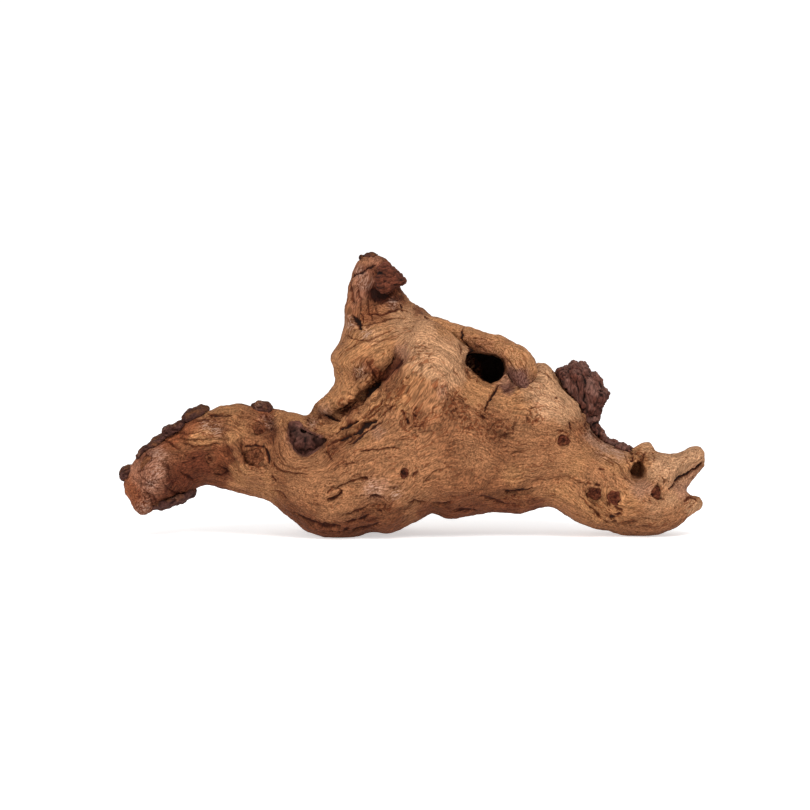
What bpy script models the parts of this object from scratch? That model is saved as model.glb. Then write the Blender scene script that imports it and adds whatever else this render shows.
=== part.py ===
"""A weathered two-tone root of driftwood that shelters aquarium fish.

The wood is one branching body: an arm, a trunk with a deep hollow under a cracked bridge, an upright
stub and a forked foot. The separate solids are those that time has parted from it: bark that is
lifting along the cambium, the bridge between its drying cracks, and dead knots in their sockets.

X runs along the root from the arm to the foot, Y from front to back and Z up. The origin is on the
ground under the middle of the root.
"""

import math

import bmesh
import bpy
import numpy as np
from mathutils import Matrix, Vector, noise
from mathutils.bvhtree import BVHTree

# Driving dimensions. Every table below is drawn in millimetres at the drawn length.
LENGTH = 0.340
DRAWN_LENGTH = 340
MM = LENGTH / DRAWN_LENGTH

GAP = 0.35  # between the wood and a piece that sits in it or on it
KNOT_RECESS = 0.7
FLOOR = 0.8  # how far the worn undersides are rubbed flat
BODY_VOXEL = 2.0
BODY_TRIANGLES = 7000
BARK_VOXEL = 1.3
SHRINKAGE = 0.5  # what smoothing takes off the skin

X, Y, Z = range(3)
FRONT, BACK = -1, 1

# A section is its place along the limb, then its low and high edges along each of the two other axes.
TRUNK = [
    (-167, -12, -4, 27, 34),
    (-165, -16, 0, 24, 38),
    (-161, -21, 6, 17.5, 45),
    (-158, -23, 9, 13.8, 48.6),
    (-154, -25, 11, 12.4, 52),
    (-151.5, -26, 12, 16.5, 53.6),
    (-146, -27, 13, 19, 56),
    (-141, -26, 14, 20, 59.8),
    (-135, -25, 15, 22, 63.6),
    (-130, -25, 16, 24.6, 67.6),
    (-127.5, -25, 16, 28, 69.8),
    (-124, -24, 17, 31, 71.6),
    (-116, -24, 17, 30.3, 73.6),
    (-108, -24, 18, 28.3, 76.3),
    (-102, -25, 20, 27, 77),
    (-95, -26, 22, 25, 75.5),
    (-88, -28, 25, 23.5, 75),
    (-82, -30, 27, 21, 74),
    (-76, -32, 29, 15.5, 73),
    (-70, -35, 31, 10.8, 71.5),
    (-63, -37, 33, 6, 69.5),
    (-55, -40, 34, 2.8, 67),
    (-47, -43, 34, 0.8, 67),
    (-40, -45, 34, 0.3, 70),
    (-33, -46, 34, 1.8, 75),
    (-26, -47, 34, 4, 81),
    (-19, -47, 36, 3.4, 88),
    (-13, -47, 38, 2.5, 95),
    (-6, -47, 40, 4.8, 103),
    (0, -47, 42, 8.3, 108),
    (6, -46, 43, 10.8, 112),
    (10, -46, 43, 13.5, 114),
    (13.5, -45, 43, 14.5, 115),
    (17, -45, 43, 12.3, 116),
    (20, -44, 43, 10, 116),
    (25, -43, 42, 10.2, 115),
    (32, -42, 42, 12, 113),
    (40, -40, 41, 13.3, 110),
    (48, -39, 40, 14.3, 108),
    (56, -38, 39, 14, 106),
    (64, -37, 38, 13.3, 103),
    (70, -35, 37, 15, 100.5),
    (75, -34, 36, 17.5, 99),
    (80, -33, 34, 17.6, 98),
    (83, -32, 33, 16.5, 95.5),
    (86.5, -32, 32, 15, 89.5),
    (91, -31, 31, 12, 85),
    (95.5, -30, 30, 9.3, 81),
    (98.5, -29, 30, 7.6, 76.5),
    (101.5, -29, 29, 6.4, 67.5),
    (105, -28, 28, 4.8, 62.5),
    (109, -28, 27, 4, 57),
    (114, -28, 26, 3.9, 53.3),
    (120, -28, 24, 2.8, 50.5),
    (127, -28, 22, 1.4, 48),
    (134, -28, 21, 0.9, 46),
    (141, -27, 20, 1.6, 44),
    (148, -25, 18, 3.6, 40),
    (153, -22, 16, 5.6, 36),
    (156.5, -19, 13, 8.5, 32),
    (159, -15, 9, 13, 27),
]
SHOULDER = [  # rises behind the trunk and ends in the stub
    (1.5, -50, -22, 12, 34),
    (8, -60, -6, 6, 41),
    (20, -66, 8, 3, 44),
    (40, -66, 12, 1, 44),
    (56, -62, 10, 1, 43),
    (66, -62, 8, -10, 42),
    (73, -58, 8, -15, 40),
    (79, -52.5, 9, -20, 38),
    (85, -46.5, 10, -23, 37),
    (91, -43.7, 13, -25, 36),
    (98, -44.5, 17, -26, 35),
    (103.5, -47, 20, -26, 34),
    (107, -45, 21, -25, 34),
    (112, -41, 23, -23, 33),
    (119, -39, 21, -19, 32),
    (125, -38.5, 15, -14, 30),
    (130, -38, 7, -10, 29),
    (136, -37.3, -1, -6, 28),
    (143, -36.3, -6.5, -3, 27),
    (150, -34.8, -10, -1, 25),
    (156, -33.3, -11, 2, 23),
    (160, -30.5, -15, 4, 21),
    (163, -27, -18, 7, 17),
]
DOME = [  # the bulge in front of the shoulder, which overhangs the groove and the hollow
    (-16, -43, -14, 58, 89),
    (-9, -45, -8, 56, 101),
    (-2, -46, -3, 56, 116),
    (4, -46, 2, 56, 126),
    (11, -45, 4, 58, 127.3),
    (18, -43, 3, 60, 123.5),
    (24, -40, 0, 64, 118.5),
    (28.5, -37, -4, 70, 113),
    (31, -33, -10, 78, 103),
]
BEAK = [  # the upper half of the forked foot
    (128, -16, 14, 26, 47),
    (134, -19, 14, 24, 48.5),
    (141, -20, 13, 24, 48.8),
    (147, -19, 12, 25, 47.6),
    (153, -17, 10, 26.5, 47.8),
    (158, -15, 8, 28.5, 49.8),
    (163, -12, 6, 32.2, 53.2),
    (167.5, -9, 4, 36.2, 52.6),
    (170.8, -6, 2, 40, 49.6),
]
LIP = [  # the lower half of the forked foot
    (148, -21, 10, 5, 24),
    (154, -20, 9, 7.4, 24.5),
    (159, -17, 6, 11, 24),
    (164.5, -14, 2, 14.6, 23.2),
    (169.3, -11, -1, 16.8, 22.8),
]
FOOT_KNUCKLE = [
    (129, -3, 9, 38, 50.5),
    (133, -5, 11, 36, 53),
    (138, -5, 11, 36, 54.6),
    (140.5, -2, 8, 38, 51.5),
]
LEFT_FOOT = [  # a broad pad under the trunk, so that the root stands without rocking
    (-62, -26, 4, 5, 28),
    (-52, -32, 12, 1, 30),
    (-42, -34, 16, -0.6, 30),
    (-33, -32, 14, 0.4, 30),
    (-24, -26, 8, 4.2, 28),
]
RIGHT_FOOT = [
    (112, -18, 14, 5, 26),
    (122, -22, 18, 1.2, 28),
    (133, -23, 19, -0.4, 28),
    (143, -20, 16, 1.6, 26),
    (150, -14, 10, 5, 24),
]
LIMBS = [
    (X, TRUNK),
    (Z, SHOULDER),
    (X, DOME),
    (X, BEAK),
    (X, LIP),
    (X, FOOT_KNUCKLE),
    (X, LEFT_FOOT),
    (X, RIGHT_FOOT),
]

BRIDGE = [  # parted from the trunk by drying cracks, over the hollow
    (7, 0, 9, 124.6, 128.9),
    (14, -4, 11, 119.5, 127.3),
    (22, -9, 12, 114.5, 125.2),
    (30, -14, 12, 109, 122.3),
    (38, -18, 11, 105.5, 120.4),
    (46, -23, 9, 102.5, 118.5),
    (53, -29, 6, 96, 116.6),
    (59, -33, 3, 89, 114.4),
    (64.5, -35, 0, 86, 112),
    (69, -32, -4, 88.5, 108),
    (72, -27, -10, 93, 103.5),
]
# A burrow is an outline in XZ, then its scale and its drift in X and Z at each place along Y.
HOLLOW = (  # the shelter itself, from its mouth at the front to its blind end
    [(30, 101.5), (30, 106), (32.5, 109), (40, 108.5), (48, 107.5), (54, 105), (54.5, 97.5), (51, 92), (46, 90),
     (40, 92), (35.5, 95.5)],
    [(-60, 1.15, 0, 0), (-36, 1.04, 0, 0), (-24, 1, 0, 0), (-8, 1.02, 0, -1), (8, 0.9, 0, -2), (17, 0.6, 0, -3)],
)
POCKET = (  # where a dead branch has rotted out beside the arm
    [(-71.5, 65), (-70, 71), (-66.5, 70.5), (-64.5, 64.5), (-59, 62.5), (-54, 60), (-46.5, 58.8), (-50.5, 54.5),
     (-57, 51), (-62.5, 48), (-67, 50), (-71, 58)],
    [(-70, 1.1, 0, 0), (-40, 1.02, 0, 0), (-28, 0.97, 0, 0), (-18, 0.86, 1, -1), (-8.5, 0.62, 2, -2)],
)
POCKET_PLUG = [(-19.5, 0.3, 1, -1.5), (-17.5, 0.44, 1, -1.5), (-13, 0.4, 1.5, -2), (-11, 0.26, 2, -2)]
FOOT_CAVE = (
    [(125.5, 39), (127.5, 44.5), (131, 46), (134, 44), (136, 39), (134, 34), (130, 33), (127, 35)],
    [(-40, 1.25, 0, 0), (-24, 1, 0, 0), (-14, 0.95, 0, 0), (-4, 0.6, 0, 0)],
)

# Each stroke lowers (or, below zero, raises) one side by so many mm, within a radius of a path in XZ.
STROKES = [
    # side, depth, radius, path
    (FRONT, 5, 5.5, [(-58, 69), (-48, 71), (-38, 74.5), (-30, 80)]),
    (FRONT, 13, 5, [(-28.5, 82.5), (-24, 86.5), (-19.5, 90.5)]),
    (FRONT, 9, 8, [(-17, 93), (-12.5, 99), (-8, 106)]),
    (FRONT, -3, 8, [(-34, 66), (-20, 80), (-8, 94), (-2, 106)]),
    (FRONT, 4.5, 3.6, [(-46, 62), (-37, 66), (-31, 69)]),
    (FRONT, 5, 3.6, [(-38, 62), (-30, 67), (-20, 71.5), (-13, 77)]),
    (FRONT, 3.5, 4, [(-50, 53), (-42, 57), (-35, 59), (-26, 66)]),
    (FRONT, 2.5, 5, [(-48, 24), (-40, 29), (-30, 35)]),
    (FRONT, 3, 6, [(-26, 21), (-18, 22)]),
    (FRONT, 2.5, 6, [(-80, 72), (-83, 62), (-82, 50), (-84, 40)]),
    (FRONT, -2.5, 6, [(-76, 68), (-76, 56), (-72, 45), (-62, 42)]),
    (FRONT, 3, 9, [(-98, 68), (-92, 62), (-90, 48)]),
    (FRONT, -3.5, 6, [(-103, 60), (-103, 49), (-98, 40), (-88, 36)]),
    (FRONT, 3.5, 8, [(-112, 52), (-110, 42), (-104, 34)]),
    (FRONT, -3, 11, [(-126, 66), (-116, 72)]),
    (FRONT, 3, 7, [(-140, 57), (-130, 54), (-121, 48)]),
    (FRONT, -3, 10, [(-150, 42), (-140, 35)]),
    (FRONT, 3.5, 7, [(-132, 40), (-124, 36)]),
    (FRONT, 4, 9, [(28, 98), (40, 88), (52, 92)]),
    (FRONT, 2.5, 5, [(54, 28), (66, 29), (74, 31.5)]),
    (FRONT, -3, 9, [(66, 21), (82, 26), (95, 22), (106, 11)]),
    (FRONT, 3, 6, [(86, 34), (98, 30), (106, 21), (113, 10)]),
    (FRONT, -2.5, 12, [(118, 27), (134, 23)]),
    (FRONT, 4.5, 6, [(149, 27), (157, 33), (166, 41)]),
    (FRONT, -2.5, 9, [(140, 39), (154, 43)]),
    (FRONT, 3.5, 6, [(136, 29), (141, 26), (144, 30)]),
    (FRONT, 3, 11, [(20, 19), (40, 21), (60, 20)]),
    (FRONT, 2.5, 14, [(52, 64), (60, 48)]),
    (FRONT, -2.5, 16, [(78, 82), (90, 68)]),
    (FRONT, -3.5, 10, [(-45, 106), (-36, 103)]),
    (FRONT, 3, 9, [(-38, 92), (-30, 95), (-22, 100)]),
    (FRONT, 4, 3.5, [(-33.5, 130), (-31, 124.5)]),
    (FRONT, 3, 8, [(-22, 140), (-12, 144)]),
    (BACK, 7, 10, [(-58, 60), (-38, 74), (-20, 82), (4, 84)]),
    (BACK, -4, 12, [(-30, 52), (0, 62), (34, 60)]),
    (BACK, 8, 12, [(20, 32), (44, 40), (66, 34)]),
    (BACK, 6, 9, [(64, 70), (76, 56), (98, 44)]),
    (BACK, -4, 12, [(80, 84), (92, 66)]),
    (BACK, 5, 9, [(-100, 62), (-88, 50), (-84, 34)]),
    (BACK, -3, 10, [(-128, 56), (-116, 44)]),
    (BACK, 5, 8, [(-148, 46), (-138, 38)]),
    (BACK, 6, 9, [(-14, 112), (-22, 122), (-26, 136)]),
    (BACK, 9, 8, [(34, 96), (46, 92)]),
    (BACK, 4, 7, [(118, 38), (134, 32), (150, 30)]),
    (BACK, 4, 8, [(-46, 22), (-28, 30)]),
]

# Bark that has lifted from the wood: an outline in XZ, the point that it tapers to, and its scale along Y.
BARK = {
    "bark_slab": (
        [(84, 95), (86, 97.6), (92.5, 97.8), (94.6, 101), (97, 98.6), (100.6, 99.6), (103, 96.5), (104.4, 94),
         (107, 94.6), (109.6, 92), (111, 87.6), (115.4, 82.8), (112, 77), (108.6, 70), (96, 70), (90, 80),
         (84, 88)],
        (95, 80),
        [(-12, 0.72), (-8, 0.9), (-2, 1), (5, 0.9), (9, 0.95), (16, 1.02), (22, 0.86), (28, 0.6)],
    ),
    "bark_slab_lower": (
        [(97, 73), (108.4, 72), (108.8, 65.5), (110.6, 60.5), (112, 57), (104, 53), (97, 62)],
        (101, 62),
        [(-9, 0.75), (-5, 1), (6, 0.93), (16, 1.04), (25, 0.7)],
    ),
    "bark_ridge_strip": (
        [(104, 58), (110.6, 62), (112.8, 55.6), (117.6, 53.8), (124, 51.6), (130, 50), (128, 43), (112, 46)],
        (116, 49),
        [(-5, 0.8), (-1, 1), (9, 0.95), (17, 1.02), (23, 0.8)],
    ),
    "stub_bark": (
        [(-21, 149), (-20, 156), (-16, 159.6), (-13, 157.8), (-9.8, 157), (-8.2, 153.8), (-5.6, 151), (-3.2, 148.2),
         (-8.4, 145.8), (-12, 142.4), (-18, 141), (-21.5, 144)],
        (-14, 150),
        [(-6.5, 0.75), (-4, 0.95), (0, 1), (7, 0.98), (13, 0.85), (17, 0.6)],
    ),
}
# Thin crusts that cling along an edge, as sections along X.
CRUST = {
    "arm_tip_crust": [
        (-169, -11, -4, 34, 38),
        (-166.5, -16, 0, 32.5, 40.4),
        (-163, -17, 1, 34, 42.2),
        (-160.5, -14, -3, 37, 42),
    ],
    "arm_outer_crust": [
        (-160, -13, -4, 42, 46.5),
        (-156, -16, 2, 46, 51.8),
        (-149.5, -17, 4, 50, 57.2),
        (-143, -15, 4, 54, 60),
        (-141, -10, 0, 56, 61),
    ],
    "arm_middle_crust": [
        (-143.5, -14, -2, 58, 62.5),
        (-140, -17, 5, 59, 65),
        (-134, -18, 7, 62, 67.2),
        (-131.5, -13, 2, 64, 68),
    ],
    "arm_knob_crust": [
        (-132.5, -12, 2, 66, 70.5),
        (-129, -16, 8, 66, 73.6),
        (-124, -17, 10, 68, 75.2),
        (-119, -14, 6, 70, 75.2),
        (-117.5, -9, 1, 72, 75),
    ],
    "arm_inner_crust": [
        (-93, -8, 2, 73, 76.5),
        (-89, -13, 7, 72, 79),
        (-84, -13, 8, 70, 77.4),
        (-80.5, -8, 3, 70, 74.8),
    ],
    "arm_under_crust": [
        (-151, -16, 4, 16.8, 20),
        (-144, -20, 8, 17.4, 23),
        (-136, -20, 9, 19.2, 25),
        (-129, -16, 6, 23, 28),
        (-127, -12, 2, 25, 29),
    ],
    "stub_crown_crust": [
        (-30.5, 8, 17, 158, 162),
        (-27, 5, 20, 158, 163.8),
        (-22.5, 5, 20, 159, 164.9),
        (-18, 7, 18, 158, 163),
        (-15.5, 9, 15, 158, 161),
    ],
}
# Dead knots: where each meets the surface in XZ, its side, its half width and height, and its depth.
KNOTS = {
    "knot_trunk_right": (87.5, 58.4, FRONT, 3.1, 3.0, 9),
    "knot_foot_left": (104.8, 26.8, FRONT, 3.4, 3.0, 9),
    "knot_foot_middle": (116.2, 24.6, FRONT, 3.5, 3.2, 9),
    "knot_foot_right": (141.3, 27, FRONT, 3.0, 3.6, 8),
    "knot_trunk_small": (-3.8, 40.6, FRONT, 2.2, 2.4, 9),
    "knot_arm_square": (-90.6, 48.2, FRONT, 5.8, 4.2, 9),
    "knot_arm_upper": (-88.3, 64.3, FRONT, 3.0, 2.8, 8),
    "knot_arm_lower": (-115.9, 46.1, FRONT, 2.4, 3.6, 8),
    "knot_arm_eye": (-154.2, 45.2, FRONT, 3.0, 3.4, 8),
    "knot_back_trunk": (24, 58, BACK, 6.5, 5.4, 12),
    "knot_back_arm": (-108, 52, BACK, 3.8, 3.2, 9),
}

PALE_WOOD = ("pale_sapwood", (0.55, 0.33, 0.17), 0.72)
RED_WOOD = ("red_heartwood", (0.30, 0.13, 0.07), 0.7)
BARK_BROWN = ("dark_bark", (0.10, 0.05, 0.04), 0.9)


def loft(axis, sections, squareness=2.25, sides=40):
    """A closed solid through rounded sections across one axis, as a bmesh in drawn millimetres."""
    across = [k for k in (X, Y, Z) if k != axis]
    rings = []
    for place, *edges in sections:
        ring = []
        for side in range(sides):
            angle = 2 * math.pi * side / sides
            point = [place] * 3
            for k, low, high, turn in zip(across, edges[::2], edges[1::2], (math.cos(angle), math.sin(angle))):
                reach = math.copysign(abs(turn) ** (2 / squareness), turn)
                point[k] = (low + high) / 2 + reach * (high - low) / 2
            ring.append(point)
        rings.append(ring)
    return skinned(rings)


def skinned(rings):
    """A closed solid over rings of points, each ring with as many points as the next."""
    mesh = bmesh.new()
    rings = [[mesh.verts.new(point) for point in ring] for ring in rings]
    for ring, following in zip(rings, rings[1:]):
        for i in range(len(ring)):
            mesh.faces.new((ring[i - 1], ring[i], following[i], following[i - 1]))
    mesh.faces.new(rings[0])
    mesh.faces.new(rings[-1])
    bmesh.ops.recalc_face_normals(mesh, faces=mesh.faces)
    return mesh


def tapered(outline, centre, stations):
    """An outline in XZ swept along Y, with its scale about a centre and its drift at each station."""
    return skinned(
        [
            [
                (centre[0] + drift_x + scale * (x - centre[0]), y, centre[1] + drift_z + scale * (z - centre[1]))
                for x, z in outline
            ]
            for y, scale, drift_x, drift_z in stations
        ]
    )


def burrow(name, outline, stations, triangles):
    """A cutter for a hole that runs back from the front."""
    centre = np.mean(outline, axis=0)
    return object_from(name, thinned(voxelled(tapered(outline, centre, stations), 1.5, 2), triangles), helper=True)


def object_from(name, mesh, helper=False):
    """Links a bmesh or a mesh as an object. A helper isn't part of the model."""
    if isinstance(mesh, bmesh.types.BMesh):
        data = bpy.data.meshes.new(name)
        mesh.to_mesh(data)
        mesh.free()
    else:
        data = mesh
        data.name = name
    made = bpy.data.objects.new(name, data)
    bpy.context.scene.collection.objects.link(made)
    if helper:
        made.hide_render = True
        made.display_type = "WIRE"
    return made


def joined(meshes):
    """One bmesh that holds several."""
    whole = bmesh.new()
    for mesh in meshes:
        part = bpy.data.meshes.new("part")
        mesh.to_mesh(part)
        mesh.free()
        whole.from_mesh(part)
        bpy.data.meshes.remove(part)
    return whole


def evaluated(mesh, *modifiers):
    """The mesh after these modifiers, each a type and its settings."""
    holder = object_from("holder", mesh)
    for kind, settings in modifiers:
        modifier = holder.modifiers.new(kind, kind)
        for name, value in settings.items():
            setattr(modifier, name, value)
    graph = bpy.context.evaluated_depsgraph_get()
    result = bpy.data.meshes.new_from_object(holder.evaluated_get(graph), depsgraph=graph)
    bpy.data.objects.remove(holder)
    return result


def voxelled(mesh, size, rounds):
    """Overlapping closed shapes as one skin, smoothed."""
    return evaluated(
        mesh,
        ("REMESH", {"mode": "VOXEL", "voxel_size": size}),
        ("SMOOTH", {"factor": 0.5, "iterations": rounds}),
    )


def thinned(mesh, triangles):
    """The mesh with about this many triangles, most where it bends most."""
    mesh = evaluated(mesh, ("TRIANGULATE", {}))
    return evaluated(mesh, ("DECIMATE", {"ratio": min(1.0, triangles / len(mesh.polygons))}))


def arrays(mesh):
    """The mesh's points and normals, one row of three each."""
    points = np.empty(len(mesh.vertices) * 3)
    normals = np.empty(len(mesh.vertices) * 3)
    mesh.vertices.foreach_get("co", points)
    mesh.vertices.foreach_get("normal", normals)
    return points.reshape(-1, 3), normals.reshape(-1, 3)


def set_points(mesh, points):
    mesh.vertices.foreach_set("co", points.ravel())
    mesh.update()


def path_weight(points, path, radius):
    """1 on a path in XZ, falling smoothly to 0 at the radius."""
    flat = points[:, [X, Z]]
    nearest = np.full(len(flat), np.inf)
    for start, end in zip(np.array(path[:-1], float), np.array(path[1:], float)):
        along = end - start
        share = np.clip((flat - start) @ along / (along @ along), 0, 1)
        nearest = np.minimum(nearest, np.linalg.norm(flat - start - share[:, None] * along, axis=1))
    left = np.clip(1 - (nearest / radius) ** 2, 0, 1)
    return left * left


def sculpted(mesh, strokes):
    """The mesh with each stroke pressed into the side that it names."""
    points, normals = arrays(mesh)
    for side, depth, radius, path in strokes:
        facing = np.clip(side * normals[:, Y] * 1.6 + 0.15, 0, 1)
        points[:, Y] -= side * depth * facing * path_weight(points, path, radius)
    set_points(mesh, points)
    return mesh


def lumpy(mesh, height, size, seed, outline_share=1.0):
    """The mesh with rounded lumps, lower by outline_share where they would change the front outline."""
    points, normals = arrays(mesh)
    lift = np.array([noise.noise(Vector(p) / size + Vector((seed, 0, 0))) for p in points])
    share = outline_share + (1 - outline_share) * np.abs(normals[:, Y])
    set_points(mesh, points + normals * (height * lift * share)[:, None])
    return mesh


def inflated(mesh, distance):
    """A copy of the mesh, this much larger all round."""
    copy = mesh.copy()
    points, normals = arrays(copy)
    set_points(copy, points + normals * distance)
    return copy


def cut(target, cutter):
    modifier = target.modifiers.new(cutter.name, "BOOLEAN")
    modifier.operation = "DIFFERENCE"
    modifier.solver = "EXACT"
    modifier.object = cutter


def carved(mesh, cutters):
    """The largest body that is left of the mesh after the cutters."""
    booleans = [("BOOLEAN", {"operation": "DIFFERENCE", "solver": "EXACT", "object": other}) for other in cutters]
    left = bmesh.new()
    left.from_mesh(evaluated(mesh, *booleans))
    bodies = []
    waiting = set(left.verts)
    while waiting:
        body = set()
        edge_of_body = [waiting.pop()]
        while edge_of_body:
            vertex = edge_of_body.pop()
            body.add(vertex)
            near = {edge.other_vert(vertex) for edge in vertex.link_edges} & waiting
            waiting -= near
            edge_of_body.extend(near)
        bodies.append(body)
    keep = max(bodies, key=len)
    bmesh.ops.delete(left, geom=[v for v in left.verts if v not in keep], context="VERTS")
    return left


def finish(piece, finish_of):
    """Paints a piece and shades it smooth."""
    name, colour, roughness = finish_of
    material = bpy.data.materials.get(name) or bpy.data.materials.new(name)
    material.use_nodes = True
    shader = material.node_tree.nodes["Principled BSDF"]
    shader.inputs["Base Color"].default_value = (*colour, 1)
    shader.inputs["Roughness"].default_value = roughness
    shader.inputs["Metallic"].default_value = 0
    piece.data.materials.clear()
    piece.data.materials.append(material)
    piece.data.shade_smooth()


def wood_mesh():
    """The whole root before anything is cut from it."""
    skin = voxelled(joined([loft(axis, sections) for axis, sections in LIMBS]), BODY_VOXEL, 5)
    skin = sculpted(inflated(skin, SHRINKAGE), STROKES)
    skin = lumpy(skin, 2.2, 26, seed=3, outline_share=0.2)
    skin = lumpy(skin, 0.9, 9, seed=8, outline_share=0.4)
    return thinned(voxelled(skin, BODY_VOXEL, 2), BODY_TRIANGLES)


def floor_cutter():
    """A block whose top is where the feet are rubbed flat."""
    block = bmesh.new()
    bmesh.ops.create_cube(block, size=1, matrix=Matrix.Diagonal((400, 200, 20, 1)))
    bmesh.ops.translate(block, verts=block.verts, vec=(0, 0, FLOOR - 10))
    return object_from("floor_cutter", block, helper=True)


def peg(half_width, half_height, start, waist, end, seed):
    """An uneven oval peg along local Z, from start down to end, narrowing from its waist inwards."""
    rings = []
    for z, share in ((start, 0.7), (start - 0.8, 1), (waist, 0.95), (end, 0.7)):
        ring = []
        for angle in np.linspace(0, 2 * math.pi, 16, endpoint=False):
            x, y = math.cos(angle), math.sin(angle)
            uneven = share * (1 + 0.3 * noise.noise((1.3 * x, 1.3 * y, seed * 7.3)))
            ring.append((half_width * uneven * x, half_height * uneven * y, z))
        rings.append(ring)
    return skinned(rings)


def add_knots(wood, surface):
    """Pegs of dead branch, each in a socket cut to fit it with a gap."""
    for seed, (name, (x, z, side, half_width, half_height, depth)) in enumerate(KNOTS.items(), 1):
        spot, normal, _, _ = surface.ray_cast(Vector((x, side * 200, z)), Vector((0, -side, 0)))
        place = Matrix.Translation(spot) @ normal.to_track_quat("Z", "Y").to_matrix().to_4x4()
        knot = peg(half_width, half_height, -KNOT_RECESS, -depth / 2, -depth, seed)
        bmesh.ops.transform(knot, matrix=place, verts=knot.verts)
        finish(object_from(name, knot), RED_WOOD)
        socket = peg(half_width / 0.95 + GAP, half_height / 0.95 + GAP, 6, -depth / 2, -depth - GAP, seed)
        bmesh.ops.transform(socket, matrix=place, verts=socket.verts)
        cut(wood, object_from(name + "_socket", socket, helper=True))


def main():
    for old in list(bpy.data.objects):
        bpy.data.objects.remove(old)
    wood = object_from("driftwood_body", wood_mesh())
    surface = BVHTree.FromPolygons(
        [v.co.copy() for v in wood.data.vertices], [tuple(p.vertices) for p in wood.data.polygons]
    )
    clearance = object_from("wood_clearance", inflated(wood.data, GAP), helper=True)

    bridge_mesh = thinned(lumpy(voxelled(loft(X, BRIDGE), BARK_VOXEL, 3), 1.2, 11, seed=5), 480)
    bridge = object_from("hollow_bridge", bridge_mesh)
    finish(bridge, PALE_WOOD)
    hollow = burrow("hollow_cutter", *HOLLOW, 320)
    cut(bridge, hollow)
    cut(wood, hollow)
    cut(wood, object_from("bridge_seat", inflated(bridge_mesh, GAP), helper=True))
    cut(wood, burrow("pocket_cutter", *POCKET, 260))
    cut(wood, burrow("foot_cave_cutter", *FOOT_CAVE, 130))
    add_knots(wood, surface)
    cut(wood, floor_cutter())
    finish(wood, PALE_WOOD)

    plug = tapered(POCKET[0], np.mean(POCKET[0], axis=0), POCKET_PLUG)
    plug = thinned(lumpy(voxelled(plug, BARK_VOXEL, 1), 1.2, 4, seed=17), 160)
    finish(object_from("dead_branch_plug", plug), BARK_BROWN)
    clearances = [clearance]
    for seed, (name, (outline, centre, taper)) in enumerate(BARK.items(), 20):
        stations = [(y, scale, 0, 0) for y, scale in taper]
        mesh = lumpy(voxelled(tapered(outline, centre, stations), BARK_VOXEL, 1), 2.4, 6, seed, 0.45)
        mesh = thinned(mesh, 420)
        finish(object_from(name, carved(mesh, clearances)), BARK_BROWN)
        clearances.append(object_from(name + "_clearance", inflated(mesh, GAP), helper=True))
    clearances = [clearance]
    for seed, (name, sections) in enumerate(CRUST.items(), 40):
        mesh = lumpy(voxelled(loft(X, sections, sides=24), BARK_VOXEL, 1), 1.2, 5, seed)
        mesh = thinned(mesh, 200)
        finish(object_from(name, carved(mesh, clearances)), BARK_BROWN)
        clearances = [clearance, object_from(name + "_clearance", inflated(mesh, GAP), helper=True)]

    graph = bpy.context.evaluated_depsgraph_get()
    pieces = [piece.evaluated_get(graph).data for piece in bpy.data.objects if not piece.hide_render]
    corners = np.concatenate([arrays(mesh)[0] for mesh in pieces])
    low, high = corners.min(axis=0), corners.max(axis=0)
    ground = Vector((-(low[X] + high[X]) / 2, -(low[Y] + high[Y]) / 2, -low[Z]))
    for piece in bpy.data.objects:
        piece.data.transform(Matrix.Scale(MM, 4) @ Matrix.Translation(ground))
        piece.data.update()


main()
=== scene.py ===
"""The look of the driftwood root: every CAD solid's skin is refined, carved along its grain and painted."""

import functools
import itertools
import math

import bmesh
import bpy
import numpy as np
from mathutils import Matrix, Vector


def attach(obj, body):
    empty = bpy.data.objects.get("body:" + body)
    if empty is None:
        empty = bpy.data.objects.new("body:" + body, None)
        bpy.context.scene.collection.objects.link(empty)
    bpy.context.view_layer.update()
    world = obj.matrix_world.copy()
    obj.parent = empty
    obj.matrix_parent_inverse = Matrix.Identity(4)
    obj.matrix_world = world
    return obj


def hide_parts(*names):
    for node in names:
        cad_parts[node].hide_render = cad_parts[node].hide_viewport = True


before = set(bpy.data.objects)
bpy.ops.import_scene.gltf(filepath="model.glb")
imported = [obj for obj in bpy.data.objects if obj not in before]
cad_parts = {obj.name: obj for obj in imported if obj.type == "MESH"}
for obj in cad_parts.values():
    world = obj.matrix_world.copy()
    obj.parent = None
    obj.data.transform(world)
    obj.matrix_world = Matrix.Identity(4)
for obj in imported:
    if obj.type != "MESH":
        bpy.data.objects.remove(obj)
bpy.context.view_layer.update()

# Every table is drawn in millimetres, X and Z first. The drawing's origin lies here in the row frame.
DRAWN_ORIGIN = np.array([-0.772, 0.565, -0.8])
X, Y, Z = range(3)
FRONT, BACK = -1, 1
FLOOR = 0.8
# The front is drawn as it looks from this far away and this much above, aimed at this point.
EYE_DISTANCE = 2200
ELEVATION = math.radians(4)
AIM = np.array([-3.8, -0.6, 76.5])
# The camera's sensor in millimetres, and how many metres across it sees at the root.
SENSOR_WIDTH = 36
VIEW_WIDTH = 0.4714

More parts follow.
